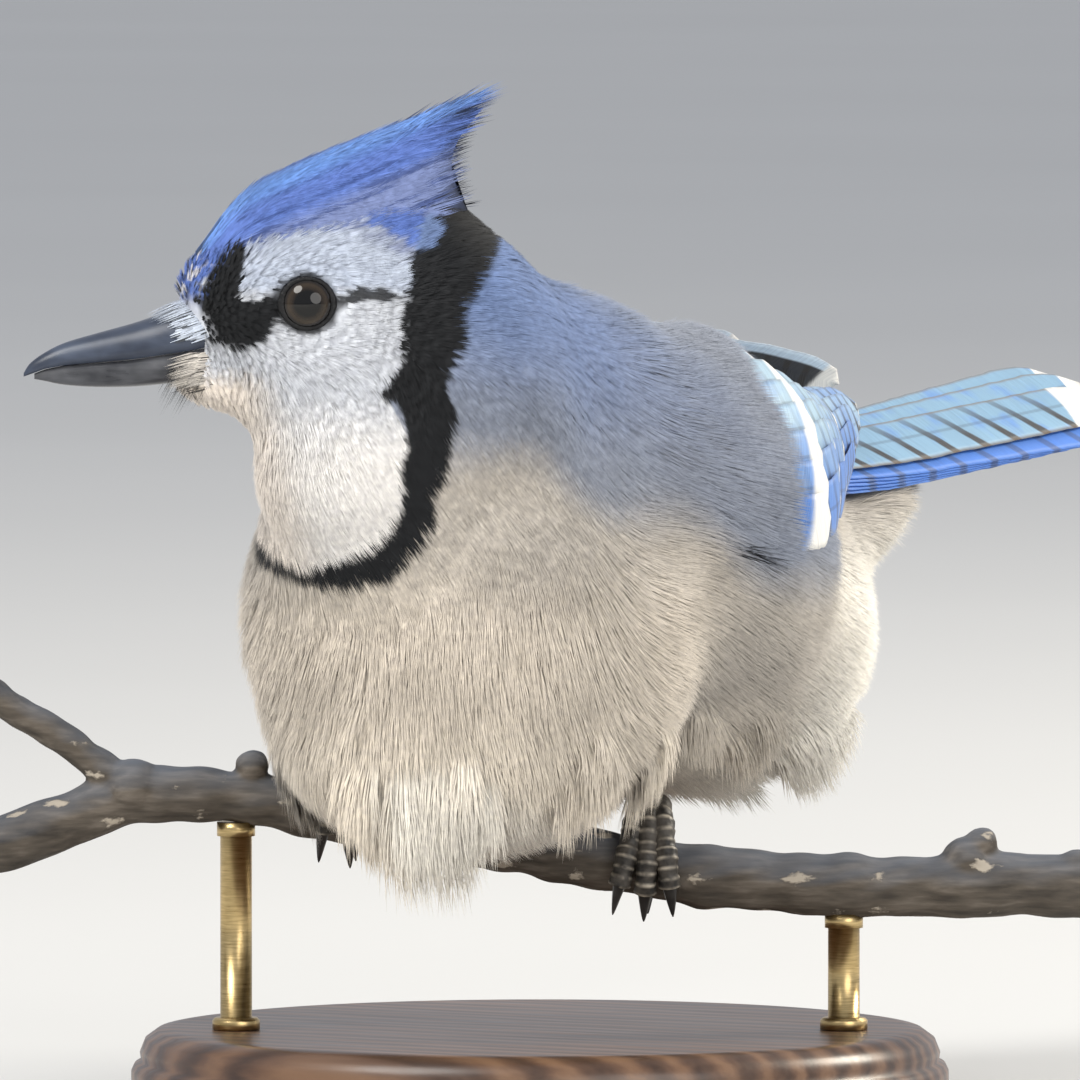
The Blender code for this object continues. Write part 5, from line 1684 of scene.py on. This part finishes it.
@dataclass
class Tail:
    """The closed tail, rolled near side down."""

    base: tuple[float, float, float] = (0.0, 54.0, 92.8)
    rise: float = 0.07
    length: float = 119.0
    grading: float = 24.0
    pairs: int = 6
    spread: float = 6.2
    step: float = 0.28
    slope: float = 0.12
    roll: float = math.radians(33.0)
    half: float = 5.0
    steps: int = 44
    looks: tuple = ((0.9, 1.2), (0.0, 0.45), (0.4, 0.5))

    def build(self, material: Material) -> None:
        """Build the twelve tail feathers."""
        rng = np.random.default_rng(SEED + 11)
        vanes = VanePile(columns=10, thickness=0.35)
        shares = np.linspace(0.0, 1.0, self.steps + 1)
        for number in range(self.pairs):
            for side in (1, -1):
                reach = self.length - self.grading * (number / (self.pairs - 1)) ** 1.35
                tip = 2.4 if number == 0 else self.spread - 0.2 * number
                across = side * ((1.0 + 0.7 * number) * (1.0 - shares) + tip * shares) + 0.5
                stack = -self.step * (number + (0.5 if side < 0 else 0.0)) - self.slope * np.abs(across)
                stack = stack + 1.6 + (0.55 if side > 0 and number == 0 else 0.0)
                roll = self.roll * (0.45 + 0.55 * ease(shares * 2.0))
                centre = np.stack((self.base[0] + across * np.cos(roll) + stack * np.sin(roll),
                                   self.base[1] + reach * shares,
                                   self.base[2] + self.rise * reach * shares + stack * np.cos(roll)
                                   - across * np.sin(roll)), axis=1)
                normal = np.stack((np.sin(roll), np.zeros_like(roll), np.cos(roll)), axis=1)
                sideways = unit(np.cross(np.gradient(centre, axis=0), normal))
                half = (self.half - 0.12 * number) * vane_outline(0.25 + 0.75 * shares, 0.45, 0.07)
                tint = (1.9 if number == 0 or side < 0 else 0.15) + 0.2 * rng.random()
                bars, tips = self.looks[1 if side < 0 else 0 if number == 0 else 2]
                vanes.lay(Vane(centre, sideways, normal, half, reach, bars, tips, tint), rng)
        enter(vanes.pile.build("tail_vanes", material), Finish.TAIL, "tail")


@dataclass
class Bill:
    """The bill's two halves, with their bristles."""

    upper: tuple = (
        (13.0, 0.2, 4.6), (17.5, -0.6, 5.0), (21.5, -1.8, 4.7), (25.8, -3.3, 4.0), (31.2, -4.8, 3.2),
        (36.3, -6.3, 2.3), (39.4, -7.8, 1.6), (41.6, -9.4, 0.9), (42.6, -10.9, 0.35),
    )
    lower: tuple = (
        (13.0, -11.2, 4.2), (17.5, -12.0, 4.4), (21.5, -12.5, 4.1), (25.8, -12.9, 3.5), (31.2, -13.0, 2.7),
        (36.3, -12.7, 1.7), (39.4, -12.1, 0.9), (41.0, -11.8, 0.4),
    )
    mouth: tuple = (
        (12.0, -6.2), (17.5, -7.4), (25.8, -8.7), (31.2, -9.2), (36.3, -9.7), (39.4, -10.3), (42.6, -11.5),
    )
    gap: float = 0.08

    def half(self, name: str, stations: tuple, arch: int, material: Material, node: str) -> None:
        """Build one half of the bill.

        Args:
            name: Name of the piece.
            stations: Forward place, edge height and half width.
            arch: 1 for the upper half and -1 for the lower.
            material: Its material.
            node: The solid that it stands for.
        """
        rings = []
        for forward, edge, wide in smooth_rows(stations, 36):
            mouth = read_row(self.mouth, float(forward))[0] + arch * self.gap
            height = max(0.15, abs(edge - mouth))
            wide = max(0.12, wide)
            ring = []
            for turn in np.linspace(0.0, math.pi, 17):
                rise = height * math.sin(turn) ** 0.85
                lateral = wide * math.copysign(abs(math.cos(turn)) ** 0.92, math.cos(turn))
                ring.append(head_point(forward, lateral, mouth + arch * rise))
            for lateral in np.linspace(-0.86, 0.86, 7):
                ring.append(head_point(forward, lateral * wide, mouth + arch * 0.12))
            rings.append(ring)
        enter(ringed_object(name, rings, material), Finish.BILL, node)

    def build(self, horn: Material, pale: Material) -> None:
        """Build both halves."""
        self.half("bill_top", self.upper, 1, horn, "bill_upper")
        self.half("bill_bottom", self.lower, -1, pale, "bill_lower")


@dataclass
class Bristles:
    """Bristles over the nostrils, round the gape and under the chin.

    Each kind of bristle gives its line, its half width and its colour.
    """

    flesh: Flesh
    over_nostril: Colour = (0.52, 0.58, 0.68)
    round_gape: Colour = (0.72, 0.68, 0.63)
    dark: Colour = (0.02, 0.02, 0.02)

    def nostril(self, side: float, rng: Random) -> tuple[tuple, float, Array]:
        """Return a pale bristle that lies over the nostril."""
        height = rng.random()
        forward = 13.4 + 3.6 * rng.random()
        up = 0.2 - 5.4 * height + 0.6 * rng.random()
        left = side * (0.4 + 4.6 * math.sqrt(height + 0.03) * (0.75 + 0.25 * rng.random()))
        reach = (8.0 - 3.5 * height) * (0.55 + 0.45 * rng.random())
        line = (head_point(forward, left, up),
                head_point(forward + reach * 0.5, left * 1.05 + side * 0.4, up - 0.3 - 0.1 * reach),
                head_point(forward + reach, left * 0.9, up - 0.36 * reach))
        tone = 0.12 if rng.random() < 0.14 else 0.7 + 0.6 * rng.random()
        return line, 0.11, np.array(self.over_nostril) * tone

    def gape(self, side: float, rng: Random) -> tuple[tuple, float, Array]:
        """Return a cream bristle beside the gape."""
        forward = 14.0 + 1.8 * rng.random()
        up = -7.4 - 4.8 * rng.random()
        left = side * (3.9 + 1.2 * rng.random())
        reach = 2.5 + 4.0 * rng.random()
        line = (head_point(forward - 1.0, left * 0.9, up),
                head_point(forward + reach * 0.45, left * 1.02, up - 0.2),
                head_point(forward + reach * 0.95, left * 0.95, up - 0.5 - 0.1 * reach))
        tone = 0.12 if rng.random() < 0.2 else 0.7 + 0.5 * rng.random()
        return line, 0.10, np.array(self.round_gape) * tone

    def whisker(self, side: float, rng: Random) -> tuple[tuple, float, Array]:
        """Return a thin black whisker under the chin."""
        forward = 13.0 + 6.5 * rng.random()
        up = -8.4 - 4.6 * rng.random()
        left = side * (3.4 + 1.6 * rng.random())
        reach = 2.0 + 3.4 * rng.random()
        line = (head_point(forward - 2.0, left * 0.9, up),
                head_point(forward + reach * 0.4, left, up - 0.9),
                head_point(forward + reach * 0.8, left * 1.05, up - 1.6 - 0.6 * reach))
        return line, 0.05, np.array(self.dark)

    def build(self, material: Material) -> None:
        """Build the bristles of both sides."""
        rng = np.random.default_rng(SEED + 3)
        strands = [strand for side in (-1.0, 1.0) for kind, count in
                   ((self.nostril, 1300), (self.gape, 420), (self.whisker, 70))
                   for strand in (kind(side, rng) for _ in range(count))]
        lines, halves, tones = zip(*strands)
        line = np.array(lines)
        outward = unit(line - head_point(18.0, 0.0, -6.5))
        pile = MeshPile()
        add_strands(pile, line, outward, np.array(halves), np.array(tones), self.flesh.unwrap(line[:, 0]))
        enter(pile.build("bristles", material), Finish.BODY)


@dataclass
class Eye:
    """One eye with the bare rim of its lids."""

    name: str
    side: float
    rim_radius: float = 3.85
    rim_rise: float = 2.8
    rim_sides: int = 10

    def build(self, eye: Material, rim: Material) -> None:
        """Build the ball and the rim."""
        centre = head_point(0.0, self.side * EYE_SPREAD, 0.0)
        outward = NEAR * self.side
        turn = Vector(outward).to_track_quat("Z", "Y").to_matrix().to_4x4()
        mesh_edit = bmesh.new()
        bmesh.ops.create_uvsphere(mesh_edit, u_segments=64, v_segments=48, radius=EYE_RADIUS * MM,
                                  matrix=Matrix.Translation(Vector(centre) * MM) @ turn)
        ball = mesh_object(self.name + "_ball", mesh_edit, eye)
        places = np.array([tuple(vert.co) for vert in ball.data.vertices]) / MM - centre
        out = places @ outward
        reach = np.linalg.norm(places - out[:, None] * outward, axis=1) / 4.0
        reach = np.where(out < 0.0, 1.0, reach)
        layer = ball.data.attributes.new("ring", "FLOAT", "POINT")
        layer.data.foreach_set("value", reach.astype(np.float32))
        enter(ball, Finish.EYE, self.name)
        rings = []
        steps = 48
        for step in range(steps + 1):
            angle = math.tau * step / steps
            spoke = -ACROSS * math.cos(angle) + UP * math.sin(angle) * 0.96
            middle = centre + outward * self.rim_rise + spoke * self.rim_radius
            notch = 1.0 + 0.08 * math.sin(angle * 22.0)
            corner = 1.0 + 0.5 * max(0.0, math.cos(angle)) ** 12 + 0.35 * max(0.0, -math.cos(angle)) ** 12
            turns = (math.tau * number / self.rim_sides for number in range(self.rim_sides))
            rings.append([middle + (spoke * math.cos(turn) * corner + outward * math.sin(turn))
                          * 0.42 * notch for turn in turns])
        mesh_edit = bmesh.new()
        extrude_rings(mesh_edit, rings)
        bmesh.ops.delete(mesh_edit, geom=[face for face in mesh_edit.faces if len(face.verts) > 4],
                         context="FACES_ONLY")
        bmesh.ops.remove_doubles(mesh_edit, verts=mesh_edit.verts, dist=1e-6)
        enter(mesh_object(self.name + "_rim", mesh_edit, rim), Finish.BODY)


@dataclass
class Foot:
    """One leg with its scutes, toes and claws."""

    side: str
    across: float
    lean: float
    toe_radius: float = 1.85
    arch: float = 2.6
    claw_length: float = 4.8
    toes: tuple = (("inner", 96.0, -16.0, -3.9), ("middle", 96.0, -26.0, 0.0), ("outer", 96.0, -18.0, 3.7),
                   ("hind", 100.0, 200.0, 0.6))
    edges: list[float] = field(default_factory=list)
    scute_steps: int = 4
    shank_sides: int = 16
    toe_sides: int = 14

    def toe_line(self, toe: tuple, steps: int) -> Array:
        """Return the line of one toe round the branch."""
        _, start, end, spread = toe
        height, radius = read_row(BRANCH_LINE, self.across)
        centre = scene_point(self.across, BRANCH_DEPTH, height)
        points = []
        for step in range(steps + 1):
            share = step / steps
            angle = math.radians(start + (end - start) * share)
            arch = self.arch * (1.0 - float(ease(share * 1.6)))
            distance = radius + self.toe_radius + 0.35 + arch
            offset = spread * (0.35 + 0.65 * share) + self.lean * 0.1 * share
            spoke = NEAR * math.cos(angle) + UP * math.sin(angle)
            points.append(centre + spoke * distance + ACROSS * offset)
        return np.array(points)

    def build(self, skin: Material, horn: Material) -> None:
        """Build the tarsus, the toes and the claws."""
        height, radius = read_row(BRANCH_LINE, self.across)
        top = height + radius
        behind = BRANCH_DEPTH - 1.0
        mesh_edit = bmesh.new()
        start = scene_point(self.across, behind, top + 2.6)
        knee = scene_point(self.across + 0.5, behind - 3.5, top + 14.0)
        steps = 36
        line = np.array([start + (knee - start) * step / steps for step in range(steps + 1)])
        radii = [1.6 + 0.45 * abs(1.0 - 2.0 * step / steps) ** 2 + self.scute(step)
                 for step in range(steps + 1)]
        extrude_rings(mesh_edit, tube_rings(line, radii, self.shank_sides, 1.0, NEAR))
        self.mark_edges(steps, self.shank_sides)
        for toe in self.toes:
            steps = 40
            self.mark_edges(steps, self.toe_sides)
            line = self.toe_line(toe, steps)
            radii = []
            for step in range(steps + 1):
                pads = 1.04 - 0.14 * step / steps + 0.07 * math.cos(math.tau * step / steps * 3.0)
                radii.append(self.toe_radius * pads + self.scute(step) - 0.12)
            extrude_rings(mesh_edit, tube_rings(line, radii, self.toe_sides))
            self.claw(toe, horn)
        item = mesh_object(f"foot_{self.side}_scuted", mesh_edit, skin)
        edges = np.array(self.edges, np.float32)
        item.data.attributes.new("scute", "FLOAT", "POINT").data.foreach_set("value", edges)
        enter(item, Finish.LEG, "leg_" + self.side)

    def mark_edges(self, steps: int, sides: int) -> None:
        """Mark the rings that hold a scute's raised edge."""
        for step in range(steps + 1):
            self.edges += [float(step % self.scute_steps == 0)] * sides

    def scute(self, step: int) -> float:
        """Return how far a scute stands out at a step along a toe."""
        share = (step % self.scute_steps) / self.scute_steps
        return 0.2 * (1.0 - share) - 0.06

    def claw(self, toe: tuple, horn: Material) -> None:
        """Build the claw at the end of one toe."""
        points = self.toe_line(toe, 6)
        along = unit(points[-1] - points[-2])
        inward = (NEAR if toe[0] != "hind" else -NEAR) * -0.35
        line = []
        radii = []
        steps = 14
        for step in range(steps + 1):
            share = step / steps
            bend = (along * share + (inward - UP * 0.25) * share ** 2 * 0.55) * self.claw_length
            line.append(points[-1] - along * 0.6 + bend)
            radii.append(1.2 * (1.0 - share) ** 0.75 + 0.1)
        rings = tube_rings(np.array(line), radii, 12, 0.8)
        nail = ringed_object(f"nail_{self.side}_{toe[0]}", rings, horn)
        enter(nail, Finish.CLAW, f"claw_{self.side}_{toe[0]}")


@dataclass
class Perch:
    """The cut length of branch with its twig, bud and knots."""

    knots: tuple = ((-43.6, 52.0, 2.6), (64.5, 37.6, 3.8), (66.8, 40.2, 2.6), (-61.5, 48.6, 4.6),
                    (81.0, 36.6, 3.0))
    voxel: float = 0.5

    def build(self, bark: Material) -> None:
        """Build the branch as one blended body."""
        mesh_edit = bmesh.new()
        for rows, pieces in ((BRANCH_LINE, 120), (TWIG_LINE, 40)):
            values = smooth_rows(rows, pieces)
            line = np.array([scene_point(row[0], BRANCH_DEPTH, row[1]) for row in values])
            swell = [row[2] * (1.0 + 0.05 * math.sin(row[0] * 0.31) + 0.03 * math.sin(row[0] * 0.83))
                     for row in values]
            extrude_rings(mesh_edit, tube_rings(line, swell, 28))
        for across, height, radius in self.knots:
            centre = Vector(scene_point(across, BRANCH_DEPTH + 0.6, height)) * MM
            bmesh.ops.create_uvsphere(mesh_edit, u_segments=24, v_segments=16, radius=radius * MM,
                                      matrix=Matrix.Translation(centre))
        item = mesh_object("branch", mesh_edit, bark)
        melt(item, self.voxel, 4)
        self.roughen(item.data)
        enter(item, Finish.BARK, "perch")

    def roughen(self, mesh: bpy.types.Mesh) -> None:
        """Raise the bark's ridges and cracks."""
        points, normals = read_surface(mesh)
        along = points @ ACROSS
        stretched = points - np.outer(along, ACROSS) * 0.7
        shift = 0.16 * mottle(stretched, 1.1, 3.0) + 0.12 * mottle(points, 2.6, 8.0)
        write_surface(mesh, points + normals * np.clip(shift, -0.4, 0.35)[:, None])
        mesh.update()


@dataclass
class Stand:
    """The turned base and the two rods."""

    radius: float = 62.0
    thickness: float = 12.0
    rod_radius: float = 2.4
    rod_offset: float = 46.0

    def build(self, wood: Material, brass: Material) -> None:
        """Build the base and the rods."""
        edge = ((0.8, 0.0), (0.0, 0.9), (0.0, 5.6), (0.5, 6.6), (1.5, 7.1), (1.3, 8.4), (2.1, 10.4),
                (3.9, 11.7), (6.0, self.thickness))
        profile = ((0.0, 0.0), *((self.radius - x, z) for x, z in edge), (0.0, self.thickness))
        mesh_edit = bmesh.new()
        verts = [mesh_edit.verts.new((x * MM, 0.0, z * MM)) for x, z in profile]
        edges = [mesh_edit.edges.new(pair) for pair in zip(verts, verts[1:])]
        bmesh.ops.spin(mesh_edit, geom=verts + edges, cent=(0, 0, 0), axis=(0, 0, 1), angle=math.tau,
                       steps=128, use_merge=True)
        bmesh.ops.remove_doubles(mesh_edit, verts=mesh_edit.verts, dist=1e-7)
        base = mesh_object("base_turned", mesh_edit, wood, smooth=False)
        for polygon in base.data.polygons:
            polygon.use_smooth = abs(polygon.normal.z) < 0.99
        enter(base, Finish.WOOD, "stand_base")
        for side, across in (("left", self.rod_offset), ("right", -self.rod_offset)):
            self.rod(side, across, brass)

    def rod(self, side: str, across: float, brass: Material) -> None:
        """Build one rod with the collar at its foot."""
        height, radius = read_row(BRANCH_LINE, across)
        foot = scene_point(across, BRANCH_DEPTH, 0.0)
        top = height - radius + 0.4
        collar = ((0.05, 2.2), (0.1, 3.6), (1.5, 3.6), (1.9, 3.2), (2.0, self.rod_radius))
        rows = [(self.thickness + rise, wide) for rise, wide in collar]
        rows += [(top - 2.2, self.rod_radius), (top - 2.1, 2.9), (top, 2.9)]
        line = np.array([foot + UP * level for level, _ in rows])
        rings = tube_rings(line, [wide for _, wide in rows], 32)
        item = ringed_object("rod_" + side, rings, brass, smooth=False)
        for polygon in item.data.polygons:
            polygon.use_smooth = abs(polygon.normal.z) < 0.3
        enter(item, Finish.BRASS, "stand_rod_" + side)


@dataclass
class Studio:
    """Floor, soft lights and the camera at the photo's angle."""

    azimuth: float = 30.0
    elevation: float = 3.0
    distance: float = 3.0
    frame_width: float = 0.1636
    target: tuple[float, float, float] = (0.0, 0.0, 0.086)
    aim: tuple[float, float, float] = (0.0, 0.0, 0.09)
    sensor: float = 36.0

    def build(self) -> None:
        """Build the studio."""
        self.floor()
        self.lights()
        self.camera()

    def floor(self) -> None:
        """Lay a plain pale floor."""
        nodes = Nodes("floor_pale", 0.9)
        cloud = nodes.noise(nodes.place(), 3.0, 2.0)
        nodes.colour(nodes.ramp(cloud, ((0.3, (0.63, 0.63, 0.62)), (0.7, (0.645, 0.645, 0.635)))))
        mesh_edit = bmesh.new()
        bmesh.ops.create_grid(mesh_edit, x_segments=2, y_segments=2, size=6.0)
        floor = mesh_object("floor", mesh_edit, nodes.material)

    def light(self, name: str, place: Sequence[float], size: float, power: float,
              colour: Sequence[float]) -> Item:
        """Add one soft area light that faces the bird."""
        data = bpy.data.lights.new(name, "AREA")
        data.shape = "DISK"
        data.size = size
        data.energy = power
        data.color = colour
        item = show(name, data)
        item.location = place
        aim = Vector(self.aim) - Vector(place)
        item.rotation_euler = aim.to_track_quat("-Z", "Y").to_euler()
        return item

    def lights(self) -> None:
        """Set a soft key, a fill, and a warm light behind."""
        self.light("key", (-0.5, -1.3, 1.6), 1.0, 25.0, (1.0, 0.98, 0.94))
        self.light("fill", (1.6, -0.9, 0.7), 1.4, 15.0, (1.0, 0.97, 0.93))
        self.light("behind", (0.9, 1.3, 1.0), 0.6, 26.0, (1.0, 0.93, 0.80))
        low = self.light("low", (0.1, -1.0, 0.02), 1.2, 9.0, (1.0, 0.93, 0.82))
        low.visible_glossy = False
        bpy.context.scene.view_settings.view_transform = "Standard"
        world = bpy.data.worlds.new("studio_air")
        world.use_nodes = True
        sky = world.node_tree.nodes["Background"]
        sky.inputs["Color"].default_value = (0.9, 0.93, 1.0, 1.0)
        sky.inputs["Strength"].default_value = 0.62
        bpy.context.scene.world = world

    def camera(self) -> None:
        """Place the camera at the photo's angle."""
        around = math.radians(self.azimuth)
        up = math.radians(self.elevation)
        back = Vector((math.sin(around) * math.cos(up), -math.cos(around) * math.cos(up), math.sin(up)))
        data = bpy.data.cameras.new("photo_view")
        data.sensor_width = self.sensor
        data.lens = self.sensor * self.distance / self.frame_width
        data.clip_start = 0.1
        data.clip_end = 50.0
        item = show("photo_view", data)
        item.location = Vector(self.target) + back * self.distance
        item.rotation_euler = back.to_track_quat("Z", "Y").to_euler()
        bpy.context.scene.camera = item


def main() -> None:
    """Build the bird, its perch, its stand and the studio."""
    logging.basicConfig(level=logging.INFO, format="%(message)s")
    plumage = PlumageFinish().material()
    markings = Markings()
    flesh = Flesh(markings)
    enter(flesh.build(plumage), Finish.BODY, "torso", "neck", "head")
    wings = (Wing("wing_left", 1, WING_LEFT, flesh), Wing("wing_right", -1, WING_RIGHT, flesh))
    Coat(flesh, markings).build(plumage, [wing.covering() for wing in wings])
    Crest(markings, flesh).build(plumage)
    wing_barred = VaneFinish("wing_barred", (0.04, 0.17, 0.58), (0.34, 0.50, 0.62), bar_spacing=3.8,
                             bar_share=0.15, tip_white=3.4, bar_slope=0.8, edge=0.15).material()
    tail_barred = VaneFinish("tail_barred", (0.02, 0.16, 0.64), (0.19, 0.35, 0.50), bar_spacing=9.6,
                             bar_share=0.12, tip_white=11.0, bar_slope=2.2, edge=0.35).material()
    for wing in wings:
        wing.build(wing_barred)
    Tail().build(tail_barred)
    horn = HornFinish("bill_horn", (0.012, 0.016, 0.028), (0.05, 0.065, 0.10)).material()
    pale = HornFinish("bill_horn_grey", (0.02, 0.022, 0.028), (0.12, 0.125, 0.14)).material()
    nail = HornFinish("nail_horn", (0.01, 0.01, 0.01), (0.045, 0.042, 0.04)).material()
    Bill().build(horn, pale)
    Bristles(flesh).build(plumage)
    rim = SkinFinish("eye_rim_skin", (0.003, 0.003, 0.0035), (0.009, 0.009, 0.010), 900.0).material()
    for name, side in (("eye_left", 1.0), ("eye_right", -1.0)):
        Eye(name, side).build(EyeFinish().material(), rim)
    scaled = SkinFinish("leg_scales", (0.012, 0.011, 0.010), (0.075, 0.066, 0.056), 420.0).material()
    Foot("left", 16.7, -8.0).build(scaled, nail)
    Foot("right", -29.5, 6.0).build(scaled, nail)
    Perch().build(BarkFinish().material())
    Stand().build(WoodFinish().material(), BrassFinish().material())
    Studio().build()


if __name__ == "__main__":
    main()
